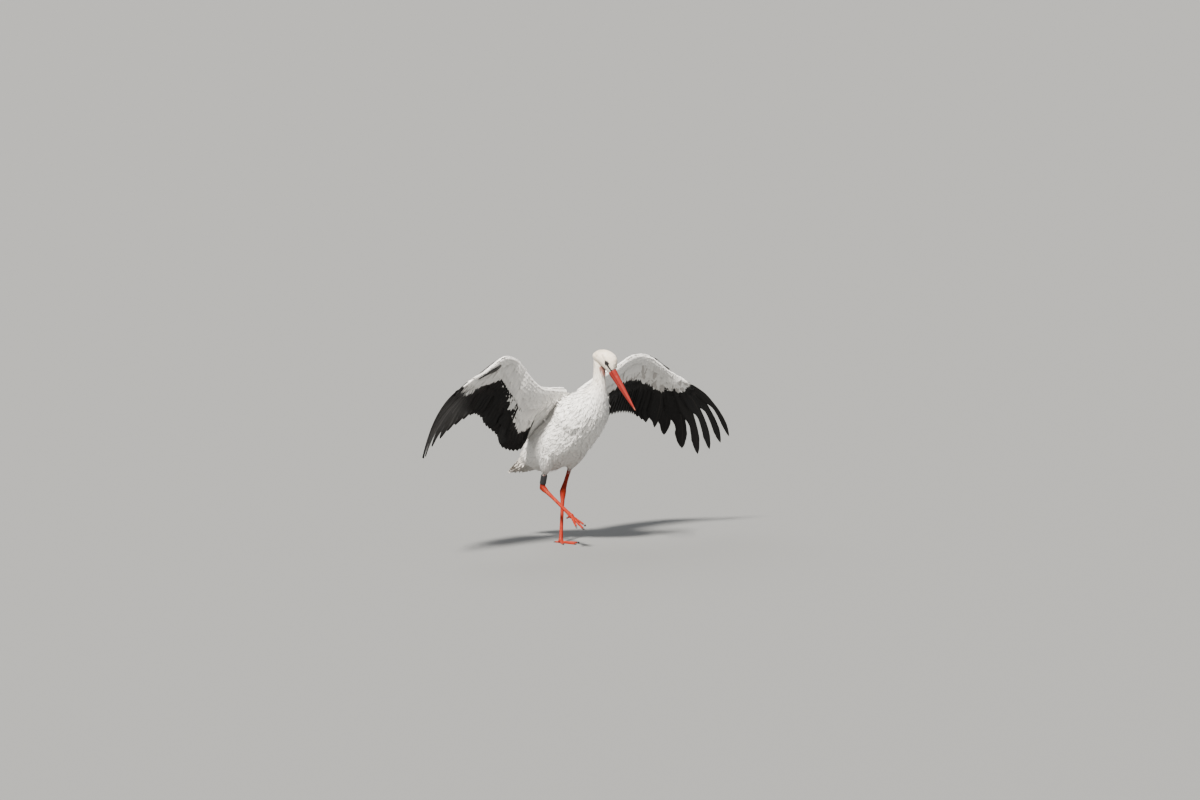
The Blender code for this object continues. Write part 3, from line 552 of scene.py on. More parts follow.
# %% Node group: the face's markings
def stroke_gap(tree, behind, crown, strokes):
    """The same distance as bare_distance, in nodes."""
    nearest = None
    for start, end, wide, narrow in strokes:
        way = end - start
        span = max(float(way @ way), 1e-9)
        db = maths(tree, "SUBTRACT", behind, float(start[0]))
        dc = maths(tree, "SUBTRACT", crown, float(start[1]))
        along = maths(tree, "ADD", maths(tree, "MULTIPLY", db, float(way[0]) / span),
                      maths(tree, "MULTIPLY", dc, float(way[1]) / span))
        along = node(tree, "ShaderNodeClamp", ((0, along),)).outputs[0]
        gb = maths(tree, "SUBTRACT", db, maths(tree, "MULTIPLY", along, float(way[0])))
        gc = maths(tree, "SUBTRACT", dc, maths(tree, "MULTIPLY", along, float(way[1])))
        square = maths(tree, "ADD", maths(tree, "MULTIPLY", gb, gb), maths(tree, "MULTIPLY", gc, gc))
        gap = maths(tree, "SQRT", square)
        gap = maths(tree, "SUBTRACT", gap, maths(tree, "MULTIPLY_ADD", along, narrow - wide, wide))
        nearest = gap if nearest is None else maths(tree, "MINIMUM", nearest, gap)
    return nearest


face, g_in, g_out = group("Face markings", (("Softness", VALUE, 0.0012),),
                          (("Bare", VALUE), ("Throat", VALUE), ("Streak", VALUE)))
offset = node(face, "ShaderNodeVectorMath", ((0, position(face)), (1, tuple(bill_base))),
              operation="SUBTRACT").outputs[0]
behind_node, crown_node = dot(face, offset, -bill_way), dot(face, offset, crown_way)
aside_node = maths(face, "ABSOLUTE", dot(face, offset, head_left))
bare = ramp(face, stroke_gap(face, behind_node, crown_node, STROKES), g_in.outputs["Softness"], -0.0004,
            smooth=True)
on_side = maths(face, "MULTIPLY", ramp(face, aside_node, 0.006, 0.009), ramp(face, aside_node, 0.045, 0.040))
throat = ramp(face, stroke_gap(face, behind_node, crown_node, THROAT_STROKES), 0.0035, -0.0015,
              smooth=True)
throat = maths(face, "MULTIPLY", throat, ramp(face, aside_node, 0.019, 0.013))
STREAK_STROKES = ((EYE + (0.012, 0.002), EYE + (0.040, 0.004), 0.0022, 0.0010),)
streak = ramp(face, stroke_gap(face, behind_node, crown_node, STREAK_STROKES), 0.0045, -0.001, smooth=True)
for socket_name, value in (("Bare", maths(face, "MULTIPLY", bare, on_side)), ("Throat", throat),
                           ("Streak", maths(face, "MULTIPLY", on_side, streak))):
    face.links.new(value, g_out.inputs[socket_name])
print("group", face.name, "ready")

# %% Node group: tint of the plumage by place on the bird
tint, g_in, g_out = group(
    "Plumage tint",
    (("White", COLOUR, (0.81, 0.79, 0.76, 1)), ("Cream", COLOUR, (0.78, 0.66, 0.50, 1)),
     ("Dust and shade", COLOUR, (0.235, 0.20, 0.165, 1)), ("Mottle", VALUE, 0.9)),
    (("Color", COLOUR),))
place = position(tint)
xyz = node(tint, "ShaderNodeSeparateXYZ", ((0, place),)).outputs
near_middle = ramp(tint, maths(tint, "ABSOLUTE", xyz[0]), 0.09, 0.05)
head_amount = maths(tint, "MULTIPLY", near_middle, maths(
    tint, "MULTIPLY", ramp(tint, xyz[2], 0.60, 0.77, 0.0, 0.75), ramp(tint, xyz[1], -0.13, -0.17)))
cloud = noise(tint, place, 38.0)
patchy = maths(tint, "MULTIPLY", head_amount, maths(tint, "ADD", cloud, 0.50))
# Dust and painted shade: the plumage turns grey-brown towards the belly's bottom and on the tail, partly for
# real dust and partly as painted shade of the underside and the tail
low = maths(tint, "MULTIPLY", near_middle, ramp(tint, xyz[2], 0.43, 0.27))
rear = maths(tint, "MULTIPLY", ramp(tint, xyz[1], 0.09, 0.18),
             ramp(tint, maths(tint, "ABSOLUTE", xyz[0]), 0.11, 0.08))
dust_and_shade = maths(tint, "MULTIPLY", maths(tint, "MAXIMUM", maths(tint, "MULTIPLY", low, 0.65), rear),
             maths(tint, "MULTIPLY_ADD", cloud, 0.9, 0.38))
dust_and_shade = maths(tint, "MULTIPLY", dust_and_shade, g_in.outputs["Mottle"])
marks = node(tint, "ShaderNodeGroup", node_tree=face).outputs
tinted = blend_colour(tint, patchy, g_in.outputs["White"], g_in.outputs["Cream"])
tinted = blend_colour(tint, dust_and_shade, tinted, g_in.outputs["Dust and shade"])
tinted = blend_colour(tint, maths(tint, "MULTIPLY", marks["Streak"], 0.55), tinted, (0.36, 0.29, 0.22, 1))
tinted = blend_colour(tint, maths(tint, "MULTIPLY", marks["Throat"], 0.85), tinted, (0.30, 0.060, 0.032, 1))
tint.links.new(tinted, g_out.inputs["Color"])
print("group", tint.name, "ready")

# %% [markdown]
# ## Finishes of the plumage
# White feathers are soft and matt with a little sheen. A feather carries painted shade towards its hidden
# root, and each one differs a little from the next. Black feathers are denser, with a slight gloss and a
# shaft that is a shade paler. On the upper side the secondaries carry a silver-grey bloom on their outer
# webs. One function makes each kind, so that a new finish is one line.


# %% White plumage
def white_finish(name, barb_count, rough=0.78, bump=0.25, grey=0.0):
    """White feathers with that many barbs to a vane. Grey is the share of grey-brown painted shade in them.
    """
    made, tree, shader = finish(name, Roughness=rough, Sheen_Weight=0.25, Sheen_Roughness=0.6,
                                Specular_IOR_Level=0.25)
    vane = node(tree, "ShaderNodeGroup", (("Barbs", barb_count), ("Shaft width", 0.05), ("Splits", 0.6)),
                node_tree=barbs)
    base = node(tree, "ShaderNodeGroup", node_tree=tint).outputs[0]
    chance = node(tree, "ShaderNodeAttribute", attribute_name="chance").outputs["Fac"]
    # Painted shade: each vane darkens towards its hidden root, where the feathers over it would shade it; a
    # random tone and the barbs vary it further
    root_shade_and_tone = ramp(tree, vane.outputs["Along"], 0.0, 0.75, 0.80, 1.0)
    root_shade_and_tone = maths(tree, "MULTIPLY", root_shade_and_tone, maths(tree, "MULTIPLY_ADD", chance, 0.10, 0.93))
    root_shade_and_tone = maths(tree, "MULTIPLY", root_shade_and_tone, maths(tree, "MULTIPLY_ADD", vane.outputs["Barb"], 0.05, 0.96))
    shade = blend_colour(tree, 1.0, base, node(tree, "ShaderNodeCombineColor", (
        (0, root_shade_and_tone), (1, root_shade_and_tone), (2, maths(tree, "MULTIPLY", root_shade_and_tone, 0.995)))).outputs[0], "MULTIPLY")
    # Painted shade: a share of grey-brown that stands for the shade along the edge of the white under the
    # wing
    if grey:
        shade = blend_colour(tree, grey, shade, (0.17, 0.14, 0.12, 1))
    feed(tree, shader, vane.outputs["Height"], bump, 0.0006, Base_Color=shade)
    return made


WHITE = white_finish("white_body_feathers", 26.0)
WHITE_FINE = white_finish("white_head_feathers", 9.0, rough=0.85, bump=0.15)
WHITE_WING = white_finish("white_wing_coverts", 40.0)
WHITE_TAIL = white_finish("white_tail_feathers", 150.0)
# Coverts with grey-brown painted shade, for the shaded edge of the white under the wing
SHADED = white_finish("painted_shade_edge_coverts", 34.0, grey=0.55)
print("white finishes ready")


# %% Black plumage
def black_finish(name, barb_count, bloom=0.0):
    """Black feathers with that many barbs to a vane. Bloom is the strength of the silver-grey dust."""
    made, tree, shader = finish(name, Roughness=0.5, Specular_IOR_Level=0.2)
    vane = node(tree, "ShaderNodeGroup", (("Barbs", barb_count), ("Shaft width", 0.045), ("Splits", 0.5)),
                node_tree=barbs)
    cloud = noise(tree, position(tree), 24.0, 4.0)
    chance = node(tree, "ShaderNodeAttribute", attribute_name="chance").outputs["Fac"]
    black = blend_colour(tree, cloud, (0.0022, 0.0022, 0.0028, 1), (0.0060, 0.0052, 0.0050, 1))
    black = blend_colour(tree, maths(tree, "MULTIPLY", chance, 0.35), black, (0.0090, 0.0070, 0.0060, 1))
    if bloom:
        outer = ramp(tree, vane.outputs["Across"], 0.05, 0.35)
        middle = ramp(tree, vane.outputs["Along"], 0.95, 0.55)
        amount = maths(tree, "MULTIPLY", maths(tree, "MULTIPLY", outer, middle), bloom)
        black = blend_colour(tree, amount, black, (0.060, 0.063, 0.066, 1))
    black = blend_colour(tree, vane.outputs["Shaft"], black, (0.026, 0.021, 0.017, 1))
    rough = maths(tree, "MULTIPLY_ADD", vane.outputs["Barb"], 0.16, 0.40)
    feed(tree, shader, vane.outputs["Height"], 0.35, 0.0008, Base_Color=black, Roughness=rough)
    return made


BLACK_BELOW = black_finish("black_flight_feathers_below", 170.0)
BLACK_ABOVE = black_finish("black_flight_feathers_above", 170.0)
SILVERED = black_finish("silvered_secondaries_above", 130.0, bloom=0.75)
BLACK_COVERT = black_finish("black_coverts", 45.0)
print("black finishes ready")

# %% [markdown]
# ## The skin
# Under the coat a bird is one continuous skin. We copy the solids of flesh, swell them a hair so that
# neighbours overlap, add a stump at the root of the tail, and let a voxel remesh turn all into a single
# closed surface. A copy of it is kept for searching before it sinks: feathers' tips will lie there.
#
# A voxel remesh spends as many faces on a plain flank as on the face, so we thin the flanks afterwards and
# leave the head and legs fine. Then each point moves inward by the depth of the coat there: little on the
# face, more on the trunk, and nothing on the bare legs.


# %% Objects from arrays
def vertex_array(mesh, what="co"):
    """A mesh's points, or its normals, as an array with one row for each point."""
    out = np.zeros(len(mesh.vertices) * 3, np.float32)
    if what == "co":
        mesh.vertices.foreach_get("co", out)
    else:
        mesh.vertex_normals.foreach_get("vector", out)
    return out.reshape(-1, 3).astype(float)


def add_object(name, verts, faces, finishes, picks=None, smooth=True):
    """A new object from points and faces, with its finishes and each face's choice of them."""
    mesh = bpy.data.meshes.new(name)
    mesh.from_pydata([tuple(v) for v in verts], [], faces)
    for one in finishes:
        mesh.materials.append(one)
    if picks is not None:
        mesh.polygons.foreach_set("material_index", np.asarray(picks, np.int32))
    if smooth:
        mesh.shade_smooth()
    made = bpy.data.objects.new(name, mesh)
    scene.collection.objects.link(made)
    return made


def corner_map(mesh, name, values):
    """A UV map from one (u, v) for each face corner."""
    layer = mesh.uv_layers.new(name=name)
    layer.data.foreach_set("uv", np.asarray(values, np.float32).ravel())
    return layer


def apply_modifiers(obj):
    """Replaces an object's mesh with what its modifiers make of it."""
    bpy.context.view_layer.update()
    graph = bpy.context.evaluated_depsgraph_get()
    mesh = bpy.data.meshes.new_from_object(obj.evaluated_get(graph))
    obj.modifiers.clear()
    old, obj.data = obj.data, mesh
    bpy.data.meshes.remove(old)
    mesh.name = obj.name


print("objects can be made from arrays")

# %% Triangles, grids and rings of faces
def tree_of(meshes):
    """A search tree over some meshes, and the index of the mesh that each of its faces is from."""
    points, polys, owner = [], [], []
    for number, mesh in enumerate(meshes):
        start = len(points)
        points.extend(v.co.copy() for v in mesh.vertices)
        polys.extend(tuple(start + v for v in p.vertices) for p in mesh.polygons)
        owner.extend([number] * len(mesh.polygons))
    return BVHTree.FromPolygons(points, polys), np.array(owner)


def triangles_of(mesh):
    """A mesh's triangles, as rows of three point numbers."""
    mesh.calc_loop_triangles()
    out = np.zeros(len(mesh.loop_triangles) * 3, np.int32)
    mesh.loop_triangles.foreach_get("vertices", out)
    return out.reshape(-1, 3)


def grid_triangles(rows, columns):
    """Triangles between the points of a grid that is stored row by row."""
    a = (np.arange(rows - 1)[:, None] * columns + np.arange(columns - 1)).ravel()
    b, c, d = a + 1, a + columns + 1, a + columns
    return np.concatenate((np.stack((a, b, c), -1), np.stack((a, c, d), -1)))


def ring_faces(rows, count, flip=False, closed=False):
    """Quads between rings of count points. A closed stack joins its last ring to its first."""
    quads = [(i * count + k, i * count + (k + 1) % count, (i + 1) % rows * count + (k + 1) % count,
              (i + 1) % rows * count + k) for i in range(rows if closed else rows - 1) for k in range(count)]
    return [quad[::-1] for quad in quads] if flip else quads


print(len(ring_faces(3, 8)), "faces in a tube of three rings")

# %% Nearest place on a surface
class Surface:
    """A surface to lay feathers on: the nearest point to a place, and a normal blended from the corners."""

    def __init__(self, *parts):
        starts = np.cumsum([0] + [len(points) for points, _ in parts])
        self.points = np.concatenate([np.asarray(points, float) for points, _ in parts])
        self.triangles = np.concatenate([np.asarray(corners) + start
                                         for (_, corners), start in zip(parts, starts)])
        corners = self.points[self.triangles]
        flat = np.cross(corners[:, 1] - corners[:, 0], corners[:, 2] - corners[:, 0])
        total = np.zeros_like(self.points)
        for k in range(3):
            np.add.at(total, self.triangles[:, k], flat)
        self.normals = unit(total)
        self.tree = BVHTree.FromPolygons([Vector(p) for p in self.points], self.triangles.tolist())

    def nearest(self, places):
        """The nearest points on the surface to some places, and the normals there."""
        found = [self.tree.find_nearest(Vector(p)) for p in np.reshape(places, (-1, 3))]
        hits = np.array([f[0] for f in found])
        corners = self.triangles[np.array([f[2] for f in found])]
        weight = 1 / (((self.points[corners] - hits[:, None]) ** 2).sum(-1) + 1e-7)
        normals = unit((self.normals[corners] * weight[..., None]).sum(1))
        return hits.reshape(np.shape(places)), normals.reshape(np.shape(places))


print("surface helper ready")

# %% Join the solids of flesh into one surface
FLESH = ["head", "neck_upper", "neck_lower", "trunk"]
for side in ("left", "right"):
    FLESH += [f"{part}_{side}"
              for part in ("thigh", "upper_arm", "forearm", "hand", "shank", "tarsus", "foot")]
joined = bmesh.new()
for name in FLESH:
    copy = nodes[name].data.copy()
    swollen = vertex_array(copy) + vertex_array(copy, "normals") * 0.0011
    copy.vertices.foreach_set("co", swollen.astype(np.float32).ravel())
    joined.from_mesh(copy)
    bpy.data.meshes.remove(copy)
u, reach = np.linspace(-0.97, 0.97, 13), np.linspace(-0.30, 0.62, 10)[:, None]
stump = np.concatenate((tail_point(u, reach, 1.0), tail_point(u, reach, -1.0)[:, ::-1]), axis=1)
stump_rows, stump_count = stump.shape[:2]
corners = [joined.verts.new(p) for p in stump.reshape(-1, 3)]
stump_faces = [joined.faces.new([corners[n] for n in quad]) for quad in ring_faces(stump_rows, stump_count)]
stump_faces += [joined.faces.new(corners[:stump_count][::-1]), joined.faces.new(corners[-stump_count:])]
bmesh.ops.recalc_face_normals(joined, faces=stump_faces)
flesh_mesh = bpy.data.meshes.new("skin")
joined.to_mesh(flesh_mesh)
joined.free()
skin = bpy.data.objects.new("skin", flesh_mesh)
scene.collection.objects.link(skin)
remesh = skin.modifiers.new("one_surface", "REMESH")
remesh.mode, remesh.voxel_size = "VOXEL", 0.0017
smooth = skin.modifiers.new("soften", "SMOOTH")
smooth.factor, smooth.iterations = 0.5, 5
apply_modifiers(skin)
print("one surface of", len(skin.data.polygons), "faces")

# %% Thin the flanks, and keep the head and legs fine
REGIONS = FLESH + ["tail"]
flesh_tree, flesh_owner = tree_of([nodes[name].data for name in REGIONS])


def regions_of(points):
    """For each point, the number in REGIONS of the solid that it lies on."""
    return np.array([flesh_owner[flesh_tree.find_nearest(Vector(p))[2]] for p in points])


places = vertex_array(skin.data)
fine = (places[:, 2] > 0.715) & (np.abs(places[:, 0]) < 0.07) | (places[:, 2] < 0.30) & (places[:, 1] < 0.08)
plain = skin.vertex_groups.new(name="plain")
plain.add(np.flatnonzero(~fine).tolist(), 1.0, "REPLACE")
thin = skin.modifiers.new("thin", "DECIMATE")
thin.ratio, thin.vertex_group = 0.20, "plain"
apply_modifiers(skin)
skin.vertex_groups.clear()

solid = bmesh.new()
solid.from_mesh(skin.data)
solid.verts.ensure_lookup_table()
seen, islands = np.zeros(len(solid.verts), bool), []
for start in solid.verts:
    if seen[start.index]:
        continue
    island, queue = [], [start]
    seen[start.index] = True
    while queue:
        vert = queue.pop()
        island.append(vert)
        for edge in vert.link_edges:
            other = edge.other_vert(vert)
            if not seen[other.index]:
                seen[other.index] = True
                queue.append(other)
    islands.append(island)
islands.sort(key=len)
bmesh.ops.delete(solid, geom=[v for island in islands[:-1] for v in island], context="VERTS")
solid.to_mesh(skin.data)
solid.free()
print("skin has", len(skin.data.polygons), "faces; loose islands removed:", [len(i) for i in islands[:-1]])

# %% [markdown]
# A stork that lifts its wings shows the muscle of the shoulder as a low swell on each side, with a groove
# in front of it and a soft fold where it meets the flank. The solids are plain there, so we draw both
# lines on the unrolled body and sink the skin between them by a few millimetres. Sculpting by hand would
# look as good, but a drawn line is easy to move.

# %% Shape the shoulder mass and the flank
# turns from the belly (-90) over the flank (0) to the back (90), and where along the body each line runs
GROOVE = ((-110, 4.95), (-83, 5.40), (-57, 5.83), (-32, 6.40), (-12, 6.85), (20, 7.00), (70, 6.70),
          (90, 6.70))
FOLD = ((-45, 5.75), (-25, 5.75), (10, 5.62), (24, 5.70), (60, 5.40), (90, 5.20))
neighbours = np.array([e.vertices[:] for e in skin.data.edges])


def blend(values, rounds):
    """Each point's value mixed with its neighbours', some times over."""
    for _ in range(rounds):
        total, count = np.zeros(len(values)), np.zeros(len(values))
        for a, b in ((0, 1), (1, 0)):
            np.add.at(total, neighbours[:, a], values[neighbours[:, b]])
            np.add.at(count, neighbours[:, a], 1)
        values = 0.5 * values + 0.5 * total / np.maximum(count, 1)
    return values


places, outward = vertex_array(skin.data), vertex_array(skin.data, "normals")
skin_regions = regions_of(places)
t, angle = along_body(places)
turn = np.degrees(np.arcsin(np.sin(angle)))
groove, fold = np.interp(turn, *np.array(GROOVE).T), np.interp(turn, *np.array(FOLD).T)
sink = 0.0045 * np.exp(-((t - groove) / 0.22) ** 2) * smoothstep(75, 55, turn)
sink += (0.006 * smoothstep(fold, fold - 0.17, t) * smoothstep(fold - 1.7, fold - 0.5, t)
         * smoothstep(-50, -35, turn) * smoothstep(88, 70, turn))
sink -= (0.0022 * smoothstep(fold, fold + 0.3, t) * smoothstep(groove, groove - 0.3, t)
         * smoothstep(-60, -40, turn))
soft_body = np.isin(skin_regions, [REGIONS.index("trunk"), REGIONS.index("neck_lower")])
sink = sink * blend(soft_body.astype(float), 8) * soft_body
skin.data.vertices.foreach_set("co", (places - outward * sink[:, None]).astype(np.float32).ravel())
skin.data.update()
print("shoulder raised", round(-sink.min() * 1000, 1), "mm, flank sunk", round(sink.max() * 1000, 1), "mm")

# %% Sink the skin by the depth of the coat
COAT_DEPTH = {"head": 0.0020, "neck_upper": 0.0035, "neck_lower": 0.005, "trunk": 0.006, "thigh": 0.004,
              "upper_arm": 0.004, "forearm": 0.003, "hand": 0.0022, "shank": 0.0, "tarsus": 0.0, "foot": 0.0,
              "tail": 0.003}
FLESH_SHARE = 0.36                       # the skin sinks by no more than this share of the flesh


def coat_depth(region):
    """The depth of the coat on a region, the same on both sides of the bird."""
    return COAT_DEPTH[region.replace("_left", "").replace("_right", "")]


surface_places, outward = vertex_array(skin.data), vertex_array(skin.data, "normals")
skin_part = (surface_places, triangles_of(skin.data))
tail_part = (vertex_array(nodes["tail"].data), triangles_of(nodes["tail"].data))
skin_only, plumage = Surface(skin_part), Surface(skin_part, tail_part)
depths = blend(np.array([coat_depth(name) for name in REGIONS])[skin_regions], 6)
for i in np.flatnonzero(depths > 0.0005):
    hit = skin_only.tree.ray_cast(Vector(surface_places[i] - outward[i] * 2e-4), Vector(-outward[i]), 0.02)
    if hit[0] is not None:
        depths[i] = min(depths[i], hit[3] * FLESH_SHARE)
sunk = surface_places - outward * depths[:, None]
print("coat depth from", round(depths.min() * 1000, 1), "to", round(depths.max() * 1000, 1), "mm")

# %% Press the face in
behind, crown, aside = behind_bill(sunk)
on_head = (skin_regions == FLESH.index("head")) & (np.abs(aside) > 0.008)
press = np.where(on_head, smoothstep(0.0015, -0.002, bare_distance(behind, crown)) * 0.0006, 0)
socket = np.where(on_head, smoothstep(0.0090, 0.0060, np.hypot(behind - EYE[0], crown - EYE[1])) * 0.0035, 0)
sunk = sunk - outward * (press + socket)[:, None]
skin.data.vertices.foreach_set("co", sunk.astype(np.float32).ravel())
skin.data.update()
bare_points = on_head & (bare_distance(behind, crown) < 0)
print("bare skin reaches", round(float(behind[bare_points].max()) * 1000), "mm back")

# %% [markdown]
# Two finishes share the skin. Under feathers it is pale and downy, and dark below the wings' black
# coverts, so that no white shows between black vanes. The same finish is black and finely creased on the
# bare face. The legs are covered with small scales, which a Voronoi pattern draws well: its cells give the
# scales and its cell borders the creases. Modelled plates would be too small to see at this size.

# %% Skin finishes
SKIN, tree, shader = finish("skin_under_feathers", Roughness=0.8, Sheen_Weight=0.2)
base = node(tree, "ShaderNodeGroup", node_tree=tint).outputs[0]
marks = node(tree, "ShaderNodeGroup", node_tree=face).outputs
place = position(tree)
down, crease = noise(tree, place, 420.0), cell_edges(tree, place, 900.0)
dark = node(tree, "ShaderNodeAttribute", attribute_name="dark").outputs["Fac"]
colour = blend_colour(tree, down, base, (0.70, 0.67, 0.62, 1))
colour = blend_colour(tree, dark, colour, (0.006, 0.0055, 0.006, 1))
bare_skin = blend_colour(tree, crease, (0.003, 0.003, 0.0035, 1), (0.010, 0.009, 0.009, 1))
colour = blend_colour(tree, marks["Bare"], colour, bare_skin)
feed(tree, shader, maths(tree, "ADD", down, crease), 0.4, 0.0006, Base_Color=colour,
     Roughness=ramp(tree, marks["Bare"], first=0.85, last=0.45))

LEGS, tree, shader = finish("scaled_leg_skin", Roughness=0.5, Specular_IOR_Level=0.12)
SCALES_PER_METRE, SCALE_JUMBLE = 430.0, 0.55
place = position(tree)
stretched = node(tree, "ShaderNodeVectorMath", ((0, place), (1, (1.0, 1.0, 0.62))),
                 operation="MULTIPLY").outputs[0]
scale_tone = node(tree, "ShaderNodeTexVoronoi", (("Vector", stretched), ("Scale", SCALES_PER_METRE),
                                                 ("Randomness", SCALE_JUMBLE)))
tone = node(tree, "ShaderNodeSeparateColor", ((0, scale_tone.outputs["Color"]),)).outputs[0]
groove = ramp(tree, cell_edges(tree, stretched, SCALES_PER_METRE, SCALE_JUMBLE), 0.0, 0.09, smooth=True)
pale = ramp(tree, noise(tree, place, 32.0, 4.0), 0.52, 0.75, 0.0, 0.4)
red = blend_colour(tree, tone, (0.20, 0.0105, 0.0032, 1), (0.26, 0.019, 0.006, 1))
red = blend_colour(tree, pale, red, (0.31, 0.080, 0.038, 1))
red = blend_colour(tree, groove, (0.12, 0.007, 0.003, 1), red)
feed(tree, shader, groove, 0.55, 0.0005, Base_Color=red, Roughness=ramp(tree, groove, first=0.75, last=0.42))
print("finishes of the skin ready")

# %% Give each face of the skin its finish
face_first = np.zeros(len(skin.data.loops), np.int32)
skin.data.loops.foreach_get("vertex_index", face_first)
loop_start = np.zeros(len(skin.data.polygons), np.int32)
skin.data.polygons.foreach_get("loop_start", loop_start)
face_regions = skin_regions[face_first[loop_start]]
leg_regions = [i for i, name in enumerate(FLESH) if name.split("_")[0] in ("shank", "tarsus", "foot")]
skin.data.materials.append(SKIN)
skin.data.materials.append(LEGS)
skin.data.polygons.foreach_set("material_index", np.isin(face_regions, leg_regions).astype(np.int32))
skin.data.shade_smooth()
print(int(np.isin(face_regions, leg_regions).sum()), "faces of bare leg")

# %% Black under the black coverts
arms = [i for i, name in enumerate(FLESH) if name.split("_")[0] in ("upper", "forearm", "hand")]
dark_value = np.zeros(len(surface_places))
grid_points, grid_black = [], []
s_grid, v_grid = np.meshgrid(np.linspace(0, 3, 100), np.linspace(0, 1, 34), indexing="ij")
for wing in WINGS.values():
    for upper in (True, False):
        grid_points.append(wing.section(s_grid, v_grid, upper).reshape(-1, 3))
        grid_black.append(wing.is_black(s_grid, v_grid + 0.04, upper).ravel())
grid_points, grid_black = np.concatenate(grid_points), np.concatenate(grid_black)
grid_tree = KDTree(len(grid_points))
for i, p in enumerate(grid_points):
    grid_tree.insert(p, i)
grid_tree.balance()
for i in np.flatnonzero(np.isin(skin_regions, arms)):
    dark_value[i] = grid_black[grid_tree.find(surface_places[i])[1]]
skin.data.attributes.new("dark", "FLOAT", "POINT").data.foreach_set("value", dark_value.astype(np.float32))
print(round(float(dark_value.mean()), 3), "of the skin is dark")

# %% [markdown]
# ## Laying small feathers
# One vane is a little leaf of a few quads: narrow at the root, widest past its middle, with a ragged tip
# and a raised centre line. Thousands of copies are computed together as arrays: each starts on the skin,
# leans along the body, and every one of its points is pressed onto the plumage's outer surface, root sunk
# and tip proud. So vanes follow the body however it curves, and each row lies on the row behind.
#
# The alternatives are hair particles or instances. Neither survives an export, so plain joined meshes it
# is. A real body feather has a soft, loose edge. Shading each vane partly with the direction of the body
# under it gives that softness, because neighbouring vanes then catch almost the same light.


# %% Outlines of the vanes
def vane_template(columns, rows, tip_point=0.5, root_width=0.35, notch=0.0):
    """Across (-1..1) and along (0..1) for a grid of points, already shaped, with the quads between them."""
    y = np.linspace(0, 1, rows) ** 0.9
    x = np.linspace(-1, 1, columns)
    width = np.interp(y, (0, 0.25, 0.6, 0.85, 1.0), (root_width, 0.8, 1.0, 0.82, 1 - tip_point))
    across = x[None, :] * width[:, None]
    along = np.repeat(y[:, None], columns, 1)
    along = along - (along ** 3) * 0.20 * np.abs(x[None, :]) ** 2
    along = along - (along ** 6) * notch * (np.arange(columns)[None, :] % 2)
    quads = [(a, a + columns, a + columns + 1, a + 1) for i in range(rows - 1)
             for a in range(i * columns, (i + 1) * columns - 1)]
    return across.ravel(), along.ravel(), np.repeat(x[None, :], rows, 0).ravel(), np.array(quads), columns


TEMPLATES = {"fine": vane_template(3, 4, 0.70), "plume": vane_template(3, 7, 0.80, 0.5),
             "body": vane_template(5, 6, 0.60, 0.4, 0.05), "covert": vane_template(5, 6, 0.45, 0.5)}
print({name: len(t[3]) * 2 for name, t in TEMPLATES.items()}, "triangles each")


# %% Press vanes onto a surface
def lay(roots, normals, ways, lengths, widths, depth, template, rng, splay=0.10, ragged=0.07, lift=0.0,
        surface=None, proud=0.0):
    """Points of many vanes, and the surface's normals there. Arrays hold one entry for each vane."""
    surface = surface or plumage
    across, along, flat_x, _, columns = template
    count = len(roots)
    ways = unit(ways - normals * (ways * normals).sum(-1, keepdims=True))
    sides = np.cross(normals, ways)
    ways = unit(ways + sides * rng.normal(0, splay, count)[:, None])
    sides = np.cross(normals, ways)
    tip_row = np.arange(len(along)) >= len(along) - columns
    jag = 1 + np.clip(rng.normal(0, ragged, (count, len(along))), -0.12, 0.12) * tip_row
    bend = rng.normal(0, splay * 0.5, count)[:, None] * along[None] ** 2
    y = along[None] * jag * lengths[:, None]
    x = across[None] * widths[:, None] / 2 + bend * lengths[:, None]
    flat = roots[:, None] + ways[:, None] * y[..., None] + sides[:, None] * x[..., None]
    rise = -depth[:, None] * (1 - along[None]) ** 1.3 + np.reshape(lift, (-1, 1)) * along[None] ** 2 + proud
    rise = rise + widths[:, None] * 0.05 * (1 - flat_x[None] ** 2) * along[None] - 0.0004
    rise = rise + rng.uniform(-0.0006, 0.0006, count)[:, None] * along[None]    # no two tips level
    hits, hull = surface.nearest(flat)
    return hits + hull * rise[..., None], hull


def grid_normals(verts, template):
    """Each vane's own normals at its points."""
    grid = verts.reshape(len(verts), -1, template[4], 3)
    return unit(np.cross(np.gradient(grid, axis=1), np.gradient(grid, axis=2))).reshape(verts.shape)


print("vanes can be laid")


# %% Build one coat piece from arrays
PATCH = 0.003                            # the side of a vane's own square on the unwrapped skin


